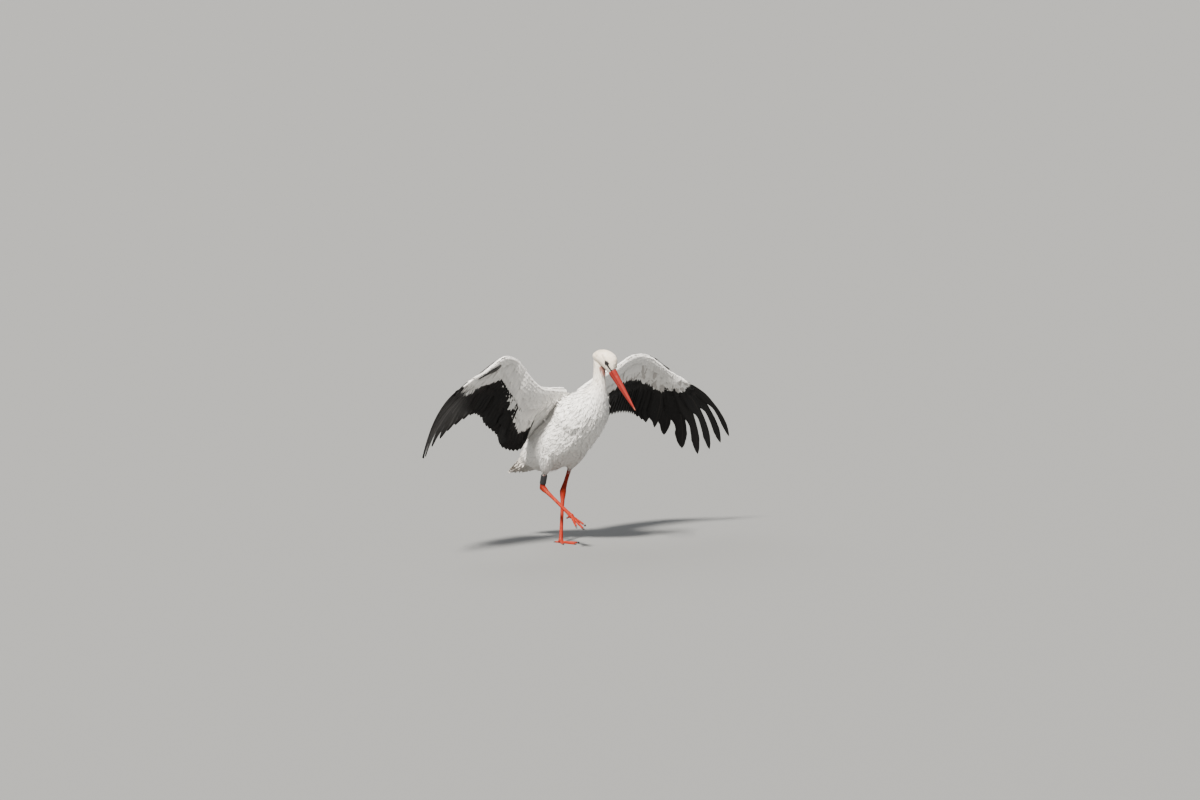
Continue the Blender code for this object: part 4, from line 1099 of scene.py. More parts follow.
def coat_piece(name, laid, template, patches, finishes, rng, pick=None, softness=0.66):
    """Joins vanes into one object. patches (vanes, 2) are the roots' places on the unwrapped skin."""
    verts, hull = laid
    _, along, flat_x, quads, _ = template
    vanes, points = verts.shape[:2]
    faces = (quads[None] + (np.arange(vanes) * points)[:, None, None]).reshape(-1, 4)
    mesh = bpy.data.meshes.new(name)
    mesh.vertices.add(vanes * points)
    mesh.vertices.foreach_set("co", verts.astype(np.float32).ravel())
    mesh.loops.add(faces.size)
    mesh.loops.foreach_set("vertex_index", faces.astype(np.int32).ravel())
    mesh.polygons.add(len(faces))
    mesh.polygons.foreach_set("loop_start", np.arange(0, faces.size, 4, dtype=np.int32))
    local = np.stack((flat_x * 0.5 + 0.5, along / along.max()), -1)
    corner, owner = faces.ravel() % points, faces.ravel() // points
    patch = patches[owner] + PATCH * (local[corner] - 0.5)
    corner_map(mesh, "OFBake", np.clip(patch, 0.0005, 0.9995))
    corner_map(mesh, "vane", local[corner])
    mesh.uv_layers.active = mesh.uv_layers["OFBake"]
    chance = mesh.attributes.new("chance", "FLOAT", "POINT")
    chance.data.foreach_set("value", np.repeat(rng.uniform(0, 1, vanes), points).astype(np.float32))
    for one in finishes:
        mesh.materials.append(one)
    if pick is not None:
        mesh.polygons.foreach_set("material_index", np.repeat(pick, len(quads)).astype(np.int32))
    mesh.update()
    mesh.shade_smooth()
    own = grid_normals(verts, template)
    share = softness * smoothstep(0.35, 0.85, (own * hull).sum(-1, keepdims=True))
    mesh.normals_split_custom_set_from_vertices(unit(hull * share + own * (1 - share)).reshape(-1, 3))
    made = bpy.data.objects.new(name, mesh)
    scene.collection.objects.link(made)
    print(name, "has", vanes, "vanes,", len(faces) * 2, "triangles")
    return made


print("ready to lay feathers")

# %% [markdown]
# ## Where the small feathers grow
# Roots are scattered over the faces of the plumage surface, and a root is dropped when it is too near one
# that is kept. Length, width and direction change smoothly over the body: on the head feathers are
# tiny and run back from the bill, on the neck they hang as narrow plumes, longest at the foot of the
# neck, and on the trunk they are broader and stream towards the tail.

# %% Size and direction of body feathers
# place along the body's sections, length, width
BODY_FEATHERS = ((0, 0.058, 0.0135), (1.5, 0.050, 0.0125), (3, 0.046, 0.0125), (5.5, 0.044, 0.0115),
                 (7, 0.046, 0.0095), (8.5, 0.044, 0.0072), (9.5, 0.034, 0.0052), (11, 0.023, 0.0040),
                 (13, 0.014, 0.0032))
DOWN = np.array((0.0, 0.0, -1.0))


def feather_size(region, points):
    """Length and width of feathers at points of a region."""
    if region == "head":
        behind, crown, _ = behind_bill(points)
        grow = smoothstep(-0.005, 0.085, behind) + 0.25 * smoothstep(-0.005, -0.030, crown)
        return 0.0046 + 0.0075 * grow, 0.0022 + 0.0010 * grow
    if region.startswith("thigh"):
        grow = smoothstep(0.23, 0.33, points[:, 2])
        return 0.016 + 0.020 * grow, 0.0042 + 0.0045 * grow
    if region.startswith("upper_arm"):
        return np.full(len(points), 0.034), np.full(len(points), 0.0115)
    t, angle = along_body(points)
    table = np.array(BODY_FEATHERS)
    front = smoothstep(0.2, -0.8, np.sin(angle)) * smoothstep(6.0, 7.5, t) * smoothstep(11.5, 9.0, t)
    return (np.interp(t, table[:, 0], table[:, 1]) * (1 + 0.35 * front),
            np.interp(t, table[:, 0], table[:, 2]))


def flow(region, points):
    """The direction in which feathers lie at points of a region."""
    if region == "head":
        behind, crown, _ = behind_bill(points)
        droop = np.maximum(smoothstep(0.060, 0.098, behind),
                           smoothstep(-0.004, -0.032, crown) * 0.75)[:, None]
        return -bill_way * (1 - droop) + (DOWN + np.array((0, 0.35, 0))) * droop
    if region.startswith("thigh"):
        return np.repeat((DOWN + np.array((0, 0.25, 0)))[None], len(points), 0)
    if region.startswith("upper_arm"):
        return np.repeat(np.array(((0.0, 0.55, -0.85),)), len(points), 0)
    hang = smoothstep(0.50, 0.64, points[:, 2])[:, None]
    return unit(np.array((0.0, 0.72, -0.70))) * (1 - hang) + (DOWN + np.array((0, 0.10, 0))) * hang


def map_place(points, region):
    """A root's place on the skin's unwrap: round the body, and along it."""
    if region == "head":
        behind, crown, left = behind_bill(points)
        turn, far = np.arctan2(crown, left), np.clip(0.02 + behind * 9, 0.01, 0.99)
    elif region.startswith("thigh"):
        side = 1 if region.endswith("left") else -1
        turn = np.arctan2(points[:, 1] + 0.02, points[:, 0] - 0.052 * side)
        far = np.clip((points[:, 2] - 0.2) * 3, 0.02, 0.98)
    else:
        t, turn = along_body(points)
        far = 0.02 + 0.96 * t / 13
    return np.stack((0.03 + 0.94 * (turn / (2 * math.pi) + 0.5), far), -1)


print("neck plumes are", BODY_FEATHERS[5][1], "m long")

# %% Scatter roots evenly
rng = np.random.default_rng(7)
centres = np.array([surface_places[list(p.vertices)].mean(0) for p in skin.data.polygons])
areas = np.zeros(len(skin.data.polygons), np.float32)
skin.data.polygons.foreach_get("area", areas)


def scatter(region, crowd):
    """Roots on a region, no two closer than the feathers' size there allows, for a crowding factor."""
    mask = face_regions == REGIONS.index(region)
    if region.startswith("upper_arm"):
        mask &= np.abs(centres[:, 0]) < 0.165
    chosen = np.flatnonzero(mask)
    lengths, widths = feather_size(region, centres[chosen])
    spacing = np.sqrt(lengths * widths) * crowd
    tries = int(3.2 * (areas[chosen] / (spacing ** 2 * 0.75)).sum())
    weight = areas[chosen].astype(float) / spacing ** 2
    picked = rng.choice(len(chosen), tries, p=weight / weight.sum())
    jitter = rng.normal(0, 0.25, (tries, 3)) * np.sqrt(areas[chosen][picked])[:, None]
    points = centres[chosen][picked] + jitter
    cell, kept, size = {}, [], float(spacing.max())
    for p, gap in zip(points, spacing[picked]):
        key = tuple(np.floor(p / size).astype(int))
        crowded = any(((p - other) ** 2).sum() < gap * gap
                      for dx in (-1, 0, 1) for dy in (-1, 0, 1) for dz in (-1, 0, 1)
                      for other in cell.get((key[0] + dx, key[1] + dy, key[2] + dz), ()))
        if not crowded:
            cell.setdefault(key, []).append(p)
            kept.append(p)
    return plumage.nearest(np.array(kept))


print("head area", round(float(areas[face_regions == 0].sum()) * 1e4, 1), "cm2")

# %% Lay the body coat
# region: crowding (smaller is denser), template, lift of the tips
COATS = {"head": (0.30, "fine", 0.0002), "neck_upper": (0.26, "plume", 0.0008),
         "neck_lower": (0.24, "plume", 0.0012), "trunk": (0.270, "body", 0.0014),
         "thigh_left": (0.26, "plume", 0.0010), "thigh_right": (0.26, "plume", 0.0010),
         "upper_arm_left": (0.28, "body", 0.0015), "upper_arm_right": (0.28, "body", 0.0015)}


def is_bare(places, margin):
    """Which places on the head are on the bare skin round the eye, or within a margin of it."""
    behind, crown, left = behind_bill(places)
    return (bare_distance(behind, crown) < margin) & (np.abs(left) > 0.007)


coat = []
for region, (crowd, kind, lift) in COATS.items():
    roots, normals = scatter(region, crowd)
    if region == "head":
        keep = ~is_bare(roots, 0.0006) & (behind_bill(roots)[0] > 0.0005)
        roots, normals = roots[keep], normals[keep]
    if region in ("head", "neck_upper"):
        behind, crown, left = behind_bill(roots)
        keep = (bare_distance(behind, crown, THROAT_STROKES) > -0.0022) | (np.abs(left) > 0.012)
        roots, normals = roots[keep], normals[keep]
    count = len(roots)
    lengths, widths = feather_size(region, roots)
    lengths, widths = lengths * rng.uniform(0.8, 1.2, count), widths * rng.uniform(0.85, 1.2, count)
    if region == "head":
        reaches = is_bare(roots + unit(flow(region, roots)) * lengths[:, None], 0.0)
        lengths = np.where(reaches, lengths * 0.45, lengths)
    depth = np.full(count, coat_depth(region)) * 0.85
    laid = lay(roots, normals, flow(region, roots), lengths, widths, depth, TEMPLATES[kind], rng,
               splay=0.10 if region == "head" else 0.15, ragged=0.04 if region == "head" else 0.09,
               lift=lift * rng.uniform(0.2, 1.8, count))
    finishes = [WHITE_FINE if region == "head" else WHITE]
    coat.append(coat_piece(f"coat_{region}", laid, TEMPLATES[kind], map_place(roots, region), finishes, rng))
print(len(coat), "body coat pieces")

# %% [markdown]
# A coat laid flat everywhere looks combed. On a real stork loose plumes stand off the breast and the
# flank, and those of the belly hang. A second, thinner layer of narrow vanes with lifted tips breaks the
# outline, and costs far fewer faces than lifting the whole coat.

# %% Loose plumes that break the outline
for region, crowd, far in (("neck_lower", 0.50, 0.0050), ("trunk", 0.62, 0.0055)):
    roots, normals = scatter(region, crowd)
    t, angle = along_body(roots)
    turn = np.degrees(np.arcsin(np.sin(angle)))
    hang = (smoothstep(-15, -60, turn) * smoothstep(6.0, 4.5, t) * 0.8)[:, None]
    ways = flow(region, roots) * (1 - hang) + (DOWN + np.array((0, 0.10, 0))) * hang
    count = len(roots)
    lengths, widths = feather_size(region, roots)
    lengths, widths = lengths * rng.uniform(0.85, 1.30, count), widths * rng.uniform(0.5, 0.8, count)
    laid = lay(roots, normals, ways, lengths, widths, np.full(count, coat_depth(region) * 0.7),
               TEMPLATES["plume"], rng, splay=0.28, ragged=0.09,
               lift=far * rng.uniform(0.2, 1.4, count) ** 1.5)
    coat.append(coat_piece(f"coat_loose_{region}", laid, TEMPLATES["plume"], map_place(roots, region),
                           [WHITE], rng))
print("loose plumes laid")

# %% [markdown]
# ## Wing coverts
# Coverts lie in tidy rows, from a scaly edge of tiny ones along the front to one long covert over the root
# of each flight feather. White storks are white in front on both sides, while the last rows and the
# bastard wing are black above. Below, the white reaches further out on the hand and next to the body,
# with frayed vanes along its edge, some of them in a grey-brown painted shade. We walk each row along the
# wing and drop a vane at even steps.

# %% Rows of coverts
# place on the chord, length, width, spacing along the row, depth: front edge first
COVERT_ROWS = ((0.004, 0.014, 0.009, 0.0050, 0.0015), (0.05, 0.017, 0.010, 0.0055, 0.002),
               (0.11, 0.020, 0.011, 0.0060, 0.002), (0.18, 0.024, 0.013, 0.0068, 0.0025),
               (0.26, 0.027, 0.014, 0.0075, 0.003), (0.35, 0.031, 0.016, 0.0085, 0.003),
               (0.45, 0.036, 0.018, 0.0095, 0.003), (0.56, 0.043, 0.020, 0.0110, 0.003),
               (0.68, 0.052, 0.022, 0.0125, 0.003), (0.82, 0.062, 0.025, 0.0140, 0.003),
               (0.97, 0.066, 0.026, 0.0150, 0.003))


def measure(line):
    """The distance from the start of a line to each of its points."""
    return np.concatenate(((0,), np.cumsum(np.linalg.norm(np.diff(line, axis=0), axis=1))))


def covert_rows(wing, upper):
    """Roots, directions and sizes of one side's coverts."""
    out = []
    s_fine = np.linspace(0.0, 2.99, 400)
    for v, length, width, spacing, depth in COVERT_ROWS:
        run = measure(wing.section(s_fine, v, upper))
        marks = np.arange(rng.uniform(0, spacing), run[-1], spacing)
        marks = marks + rng.normal(0, spacing * 0.15, len(marks))
        s = np.clip(np.interp(marks, run, s_fine), 0, 2.99)
        if v > 0.9:
            s = s[s < (1.05 if upper else 1.3)]
        vv = np.clip(v + rng.normal(0, 0.010, len(s)), 0.003, 1.05)
        roots = wing.section(s, vv, upper)
        ahead = wing.section(s, np.minimum(vv + 0.05, 1.0) + 0.001, upper)
        flat = wing.section(s, np.minimum(vv + 0.12, 1.0) + 0.002, upper)
        shrink = np.interp(s, (0, 0.4, 2.0, 3.0), (1.0, 1.0, 0.9, 0.6))
        out.append((roots, unit(ahead - roots) + unit(flat - roots), length * shrink, width * shrink,
                    np.full(len(s), depth), s, vv))
    return [np.concatenate(parts) for parts in zip(*out)]


def wing_surface(wing, rows):
    """A sheet through rows of (place on the chord, upper or not) of one wing, facing outward."""
    grid = np.array([wing.section(np.linspace(0, 3, 100), v, upper) for v, upper in rows])
    triangles = grid_triangles(*grid.shape[:2])
    if (wing.sign > 0) != rows[-1][1]:
        triangles = triangles[:, ::-1]
    return Surface((grid.reshape(-1, 3), triangles))


def border_row(wing, back, longest):
    """White under-wing coverts whose tips end at the edge of the white, or a share of a feather before it."""
    s_fine = np.linspace(0.10, 2.93, 400)
    run = measure(wing.section(s_fine, 0.9, False))
    marks = np.arange(0, run[-1], 0.0062)
    s = np.interp(marks + rng.normal(0, 0.001, len(marks)), run, s_fine)
    q = np.maximum(wing.number(s), 0)
    feather = np.linalg.norm(wing.tip(q) - wing.root(q), axis=-1)
    chord = np.linalg.norm(wing.section(s, 1.0, False) - wing.section(s, 0.0, False), axis=-1)
    edge = np.interp(q, *wing.white_below.T) - back + rng.normal(0, 0.011, len(s))
    length = longest * np.interp(s, (0, 1, 2, 3), (1.55, 1.15, 0.85, 0.55)) * rng.uniform(0.8, 1.2, len(s))
    start, cover = edge - length / feather, wing.cover(q)
    v = np.where(start > cover, 1 + (start - cover) / 0.6, 1 + (start - cover) * feather / chord)
    v = np.clip(v, 0.12, 1.9)
    reach = cover + np.where(v > 1, (v - 1) * 0.6, (v - 1) * chord / feather)
    length = (edge - reach) * feather
    roots = wing.section(s, v, False)
    ways = unit(wing.section(s, v + 0.05, False) - roots) + unit(wing.section(s, v + 0.12, False) - roots)
    keep = length > 0.012
    return [values[keep] for values in (roots, ways, length, length * 0.12 + 0.0105, s, v)]


print(len(COVERT_ROWS), "rows of coverts on each side")


# %% Lay the coverts
def outside_trunk(roots):
    """Which roots are not sunk in the trunk."""
    hits, normals = plumage.nearest(roots)
    return ((roots - hits) * normals).sum(-1) > -0.0045


NOSE = 0.2                               # rows in front of this share of the chord wrap the wing's front edge
SHEET_ROWS = np.concatenate((np.linspace(0, 1, 18) ** 1.3, np.linspace(1.04, 1.8, 9)))
# of each border row: how far it stays back, longest vane, lift off the wing, share of vanes with painted
# shade
BORDER_ROWS = ((0.0, 0.052, 0.0026, 0.60), (0.06, 0.055, 0.0033, 0.35), (0.13, 0.055, 0.0040, 0.15))
for wing in WINGS.values():
    nose = wing_surface(wing, [(v, False) for v in np.linspace(0.6, 0.02, 16) ** 1.2]
                        + [(v, True) for v in np.linspace(0.0, 0.6, 16) ** 1.2])
    for upper in (True, False):
        roots, ways, lengths, widths, depth, s, v = covert_rows(wing, upper)
        surface = wing_surface(wing, [(v_row, upper) for v_row in SHEET_ROWS])
        keep = outside_trunk(roots)
        order = np.concatenate((np.flatnonzero(keep & (v < NOSE)), np.flatnonzero(keep & (v >= NOSE))))
        roots, ways, lengths, widths, depth, s, v = (
            a[order] for a in (roots, ways, lengths, widths, depth, s, v))
        lengths = lengths * rng.uniform(0.88, 1.12, len(s))
        black = wing.is_black(s, v, upper, 0.0 if upper else lengths)
        lengths = np.where(black & (v > 0.5) & (not upper), lengths * 1.35, lengths)
        frayed = (s > 1.9) & (v < 0.35) & (not upper)
        parts = []
        for sheet, chosen in ((nose, v < NOSE), (surface, v >= NOSE)):
            parts.append(lay(roots[chosen], sheet.nearest(roots[chosen])[1], ways[chosen], lengths[chosen],
                             widths[chosen], depth[chosen] * 0.8, TEMPLATES["covert"], rng,
                             splay=np.where(frayed, 0.22, 0.06)[chosen], ragged=0.05, surface=sheet,
                             lift=np.where(frayed, 0.0026, 0.0008)[chosen], proud=0.0004))
        laid = [np.concatenate(both) for both in zip(*parts)]
        name = f"coat_{'upper' if upper else 'under'}_wing_{wing.name}"
        patches = np.stack((0.02 + 0.96 * s / 3, 0.03 + 0.90 * np.clip(v, 0, 1)), -1)
        coat.append(coat_piece(name, laid, TEMPLATES["covert"], patches, [WHITE_WING, BLACK_COVERT], rng,
                               black.astype(int), softness=0.3))
    for number, (back, longest, proud, shaded_share) in enumerate(BORDER_ROWS):
        roots, ways, lengths, widths, s, v = border_row(wing, back, longest)
        keep = outside_trunk(roots) & (s > 0.22)
        roots, ways, lengths, widths, s, v = (a[keep] for a in (roots, ways, lengths, widths, s, v))
        laid = lay(roots, surface.nearest(roots)[1], ways, lengths, widths, np.full(len(s), 0.0022),
                   TEMPLATES["covert"], rng, splay=0.13, ragged=0.09, surface=surface, lift=0.0014,
                    proud=proud)
        # Painted shade: some vanes along the white's edge take the grey-brown shaded finish, more of them on
        # the left wing
        chance, inmost = (shaded_share, 0.9) if wing.sign > 0 else (shaded_share * 0.5, 1.9)
        shade_picks = (rng.uniform(0, 1, len(s)) < chance) & (s > inmost)
        patches = np.stack((0.02 + 0.96 * s / 3, 0.03 + 0.45 * np.clip(v, 0, 2)), -1)
        coat.append(coat_piece(f"coat_border_{number}_{wing.name}", laid, TEMPLATES["covert"], patches,
                               [WHITE_WING, SHADED], rng, shade_picks.astype(int), softness=0.3))
print("wing coverts laid")

# %% [markdown]
# Where a raised wing leaves the body a real stork has long soft feathers that fill the armpit. The wing's
# coverts and the body's coat would leave a gap there. So we stretch a curved sheet from the wing's under
# side to the flank, only to search on, and lay rows of long vanes over it.


# %% Long soft feathers in the armpits
def armpit_out(wing):
    """The way out of the armpit: to its side, forward and a little down."""
    return unit(np.array((wing.sign * 0.8, -0.6, -0.15)))


def armpit(side, wing, a, b):
    """A sheet from the wing's under side (b = 0) to the flank (b = 1). a runs from the shoulder back."""
    a, b = np.broadcast_arrays(np.asarray(a, float), np.asarray(b, float))
    turn = np.radians(80 - 36 * smoothstep(0, 0.6, a))
    on_wing = wing.section(0.24, np.clip(0.06 + 1.50 * a, 0, 1.8), False)
    on_body = body_surface(7.1 - 3.6 * a, turn if side == "left" else math.pi - turn)
    bulge = 0.016 * np.sin(math.pi * np.clip(b, 0, 1)) * np.sin(math.pi * np.clip(a * 0.8 + 0.1, 0, 1))
    return on_wing * (1 - b[..., None]) + on_body * b[..., None] + armpit_out(wing) * bulge[..., None]


for side, wing in WINGS.items():
    a_grid, b_grid = np.meshgrid(np.linspace(-0.04, 1.25, 40), np.linspace(-0.25, 1.2, 20), indexing="ij")
    grid = armpit(side, wing, a_grid, b_grid)
    triangles = grid_triangles(*grid.shape[:2])
    web = Surface((grid.reshape(-1, 3), triangles))
    if web.normals.mean(0) @ armpit_out(wing) < 0:
        web = Surface((grid.reshape(-1, 3), triangles[:, ::-1]))
    a = np.repeat(np.linspace(0.0, 0.92, 22), 13)
    b = np.tile(np.linspace(-0.10, 1.05, 13), 22) + rng.normal(0, 0.03, len(a))
    a = a + rng.normal(0, 0.012, len(a))
    roots, ahead = armpit(side, wing, a, b), armpit(side, wing, a + 0.05, b)
    count = len(a)
    laid = lay(roots, web.nearest(roots)[1], ahead - roots + DOWN * 0.004, rng.uniform(0.045, 0.070, count),
               rng.uniform(0.011, 0.016, count), np.full(count, 0.002), TEMPLATES["body"], rng, splay=0.16,
               ragged=0.09, surface=web, lift=0.004 * rng.uniform(0.1, 1.0, count), proud=0.0015)
    patches = np.stack((0.05 + 0.9 * np.clip(b * 0.8 + 0.1, 0, 1), 0.05 + 0.9 * np.clip(a, 0, 1)), -1)
    coat.append(coat_piece(f"coat_armpit_{side}", laid, TEMPLATES["body"], patches, [WHITE], rng))
print("armpits filled")

# %% [markdown]
# ## Stiff feathers
# Flight and tail feathers are built one at a time, because each shows: a firm shaft, a wide inner vane and
# a narrow outer one. From above, each feather's outer edge lies on its neighbour nearer the tip. The
# outermost primaries narrow halfway, and that opens the slots between the wing's fingers. Each feather is
# a thin closed shell, with its own colour above and below.

# %% One stiff feather
STEPS = np.array((-1.0, -0.66, -0.33, 0.0, 0.33, 0.66, 1.0))
RING = 2 * len(STEPS)                    # points round a feather


def stiff_feather(line, normal, across, inner, outer, thick=0.0006, tilt=0.0016, droop=0.003, seed=0):
    """Rings of points round one feather: over its upper face towards the outer edge, and back below."""
    rows = len(line)
    wobble = np.random.default_rng(seed).normal(0, 0.02, (rows, 2))
    wobble[-4:] *= 2.5
    t = np.linspace(0, 1, rows)
    half = np.interp(t, (0, 0.7, 1), (thick, thick * 0.6, 0.00015))
    upper, lower = np.empty((2, rows, len(STEPS), 3))
    for j, x in enumerate(STEPS):
        width = inner * (1 + wobble[:, 0]) if x < 0 else outer * (1 + wobble[:, 1])
        bend = tilt * x - droop * x * x * (1.0 if x < 0 else 0.4)
        point = line + across * (x * width)[:, None] + normal * bend
        edge = (half * (1 - 0.8 * x ** 4) + (0.0006 if x == 0 else 0.0) * (1 - t))[:, None]
        upper[:, j], lower[:, j] = point + normal * edge, point - normal * edge
    return np.concatenate((upper, lower[:, ::-1]), axis=1)


def feather_object(name, feathers, above, below, flip):
    """Joins feathers into one object, with the vane map, the bake map and a number of its own for each."""
    verts, faces, bake, vane, picks, chance = [], [], [], [], [], []
    total = len(feathers)
    across_u = np.concatenate((STEPS, STEPS[::-1])) * 0.5 + 0.5
    for order, rings in enumerate(feathers):
        base, rows = len(verts), len(rings)
        verts.extend(rings.reshape(-1, 3))
        chance.extend([(order * 7919 % 13) / 13.0] * (rows * RING))

        def put(cells, pick):
            """Adds one face from its corners (row, place on the ring)."""
            if flip:
                cells = cells[::-1]
            faces.append(tuple(base + i * RING + k % RING for i, k in cells))
            picks.append(pick)
            for i, k in cells:
                u, v = across_u[k % RING], i / (rows - 1)
                half = (0.25, 0.75)[pick] + 0.22 * (u - 0.5) * 2
                bake.append(((order + half) / total * 0.98 + 0.01, 0.01 + 0.98 * v))
                vane.append((u, v))

        for i in range(rows - 1):
            for k in range(RING):
                put([(i, k), (i, k + 1), (i + 1, k + 1), (i + 1, k)], 0 if k < len(STEPS) else 1)
        put([(0, k) for k in range(RING)][::-1], 0)
        put([(rows - 1, k) for k in range(RING)], 0)
    made = add_object(name, verts, faces, [above, below], picks)
    mesh = made.data
    corner_map(mesh, "OFBake", bake)
    corner_map(mesh, "vane", vane)
    mesh.uv_layers.active = mesh.uv_layers["OFBake"]
    mesh.attributes.new("chance", "FLOAT", "POINT").data.foreach_set("value", np.array(chance, np.float32))
    print(name, "has", total, "feathers,", len(faces) * 2, "triangles")
    return made


# %% Flight feathers
def flight_feather(wing, number, rows=30):
    """One flight feather. Its vanes are as wide as the space to the neighbours asks for."""
    middle = number + 0.5
    start = max(0.10, float(wing.cover(middle)) * 0.5)
    t = start + (1 - start) * np.linspace(0, 1, rows) ** 0.92
    line, normal = wing.flight(middle, t), wing.normal(middle, t)
    along = unit(np.gradient(line, axis=0))
    across = unit(np.cross(along, normal)) * -wing.sign
    beside = wing.flight(min(number + 1, FEATHERS), t) - wing.flight(number, t)
    share = np.linalg.norm(beside, axis=-1)
    across = across * np.sign((across * beside).sum(-1, keepdims=True))
    slot_in, slot_out = wing.fingers.get(number), wing.fingers.get(number + 1)
    last = number == FEATHERS - 1
    inner, outer = share * 1.12 + 0.003, np.minimum(share * 0.45, 0.014)
    if slot_in:
        inner = inner + (share * 0.42 - inner) * smoothstep(slot_in - 0.12, slot_in + 0.12, t)
    if slot_out or last:
        begin = slot_out or 0.45
        outer = outer + (share * 0.24 - outer) * smoothstep(begin - 0.10, begin + 0.12, t)
    if number == 0:
        inner = inner + 0.018 * np.sin(math.pi * np.clip((t - 0.25) / 0.7, 0, 1))
    if slot_in or slot_out:
        end = np.clip((1 - t) / 0.16, 0, 1) ** 0.62
    else:
        end = np.clip((1 - t) / 0.07, 0, 1) ** 0.5
        inner = np.minimum(inner, inner + (share * 0.75 - inner) * smoothstep(0.86, 0.97, t))
    grow = 0.35 + 0.65 * smoothstep(start, start + 0.08, t)
    return stiff_feather(line, normal, across, inner * end * grow + 2e-4, outer * end * grow + 2e-4,
                         tilt=0.0015, droop=0.0022, seed=1000 + number)


ARM_END = TERTIALS + SECONDARIES
flight = []
for side, wing in WINGS.items():
    for kind, solid_name, first, last, above in (("tertial", "tertials", 0, TERTIALS, BLACK_ABOVE),
                                                 ("secondary", "secondaries", TERTIALS, ARM_END, SILVERED),
                                                 ("primary", "primaries", ARM_END, FEATHERS, BLACK_ABOVE)):
        feathers = [flight_feather(wing, number) for number in range(first, last)]
        made = feather_object(f"{kind}_feathers_{side}", feathers, above, BLACK_BELOW, wing.sign > 0)
        flight.append((made, f"{solid_name}_{side}"))

# %% [markdown]
# The bastard wing is a few short, black feathers on the thumb, which lie along the hand's front edge. They
# follow paths over the arm's own surface, above it or below it, and are made by the same function.

# %% Bastard wing
THUMB_WIDTH, THUMB_RISE = {True: 0.0078, False: 0.0165}, {True: 0.0026, False: 0.0052}   # above, below
for side, wing in WINGS.items():
    feathers = []
    for order, (upper, path) in enumerate(wing.bastard):
        u = np.linspace(0, 1, 16)
        s, v = spline(path, u * (len(path) - 1)).T
        line = wing.section(s, v, upper)
        beside = wing.section(s, v + 0.05, upper) - line
        along = unit(np.gradient(line, axis=0))
        normal = unit(np.cross(along, beside))
        sheet = wing.normal(wing.number(s[0]), 0.4) * (1 if upper else -1)
        normal = normal * np.sign(normal @ sheet)[:, None]
        belly = 0.7 + 0.3 * np.sin(math.pi * np.clip(u * 1.4, 0, 1))
        width = THUMB_WIDTH[upper] * np.clip((1 - u) / 0.75, 0, 1) ** 0.6 * belly + 2e-4
        rise = THUMB_RISE[upper] + 0.0006 * order - 0.005 * smoothstep(0.22, 0.0, u)
        line = line + normal * rise[:, None]
        rings = stiff_feather(line, normal, unit(beside), width, width * 0.7, thick=0.0005, droop=0.0012,
                              seed=order)
        feathers.append(rings if (np.cross(along[0], unit(beside)[0]) @ normal[0]) < 0 else rings[:, ::-1])
    made = feather_object(f"bastard_wing_{side}", feathers, BLACK_ABOVE, BLACK_BELOW, False)
    flight.append((made, f"alula_{side}"))

# %% [markdown]
# ## Tail
# The tail is short, white and closed: twelve firm feathers in a shallow roof, hidden for half their length
# by long soft coverts above and below. The coverts lie on the tail's solid, which is thick at the rump and
# runs out to nothing.

# %% Tail feathers
TAIL_FEATHERS = 12
rectrices = []
for number in range(TAIL_FEATHERS):
    u = (number + 0.5) / TAIL_FEATHERS * 2 - 1
    reach = np.linspace(-0.15, 1.0, 22)
    line = tail_point(u, reach) + tail_up * (0.0012 * (1 - abs(u)) - 0.0008 * abs(u))
    normal = np.repeat(unit(tail_up + np.array((0.25 * u, 0, 0)))[None], len(line), 0)
    across = np.repeat(np.array(((1.0 if u > 0 else -1.0, 0, 0),)), len(line), 0)
    end = np.clip((1 - reach) / 0.14, 0, 1) ** 0.5
    rings = stiff_feather(line, normal, across, 0.0125 * end + 2e-4, 0.0070 * end + 2e-4, tilt=0.0012,
                          droop=0.001, seed=300 + number)
    rectrices.append(rings if u > 0 else rings[:, ::-1])
tail = feather_object("tail_feathers", rectrices, WHITE_TAIL, WHITE_TAIL, False)

# %% Tail coverts
IN_ROW = 19
u, reach = [], []
for row in np.arange(-0.15, 0.66, 0.068):
    places_across = np.linspace(-0.97, 0.97, IN_ROW) + rng.normal(0, 0.03, IN_ROW)
    u.append(places_across)
    reach.append(row + rng.normal(0, 0.02, IN_ROW) - 0.10 * np.abs(places_across))
u, reach = np.concatenate(u), np.concatenate(reach)
roots = np.concatenate([tail_point(u, reach, side) for side in (1.0, -1.0)])
normals = np.repeat((tail_up, -tail_up), len(u), 0)
ways = np.repeat((tail_point(0, 1) - tail_point(0, 0))[None], len(roots), 0) + roots * (0.6, 0, 0)
count = len(roots)
under = np.repeat((0.0, 1.0), len(u))
laid = lay(roots, normals, ways, rng.uniform(0.038, 0.054, count), rng.uniform(0.010, 0.014, count),
           np.full(count, 0.003), TEMPLATES["body"], rng, splay=0.18, ragged=0.09,
           lift=0.0012 + (0.003 + 0.008 * under) * rng.uniform(0, 1, count) ** 2)
patches = np.stack((0.05 + 0.9 * (np.tile(u, 2) * 0.5 + 0.5),
                    0.05 + 0.42 * np.clip(np.tile(reach, 2) + 0.3, 0, 1)
                    + under * 0.5), -1)
coat.append(coat_piece("coat_tail", laid, TEMPLATES["body"], patches, [WHITE], rng))

# %% [markdown]
# ## Bill
# The bill is a long wedge of horn. Each half is a stack of half ovals, flat where the two meet, with a
# keel along the top and a narrow slit for each nostril near the base. Its red is deepest at the base and
# pales towards the tip, and fine furrows run along it. A plain cone would give the outline, but not the
# gape line, which shows at any distance.


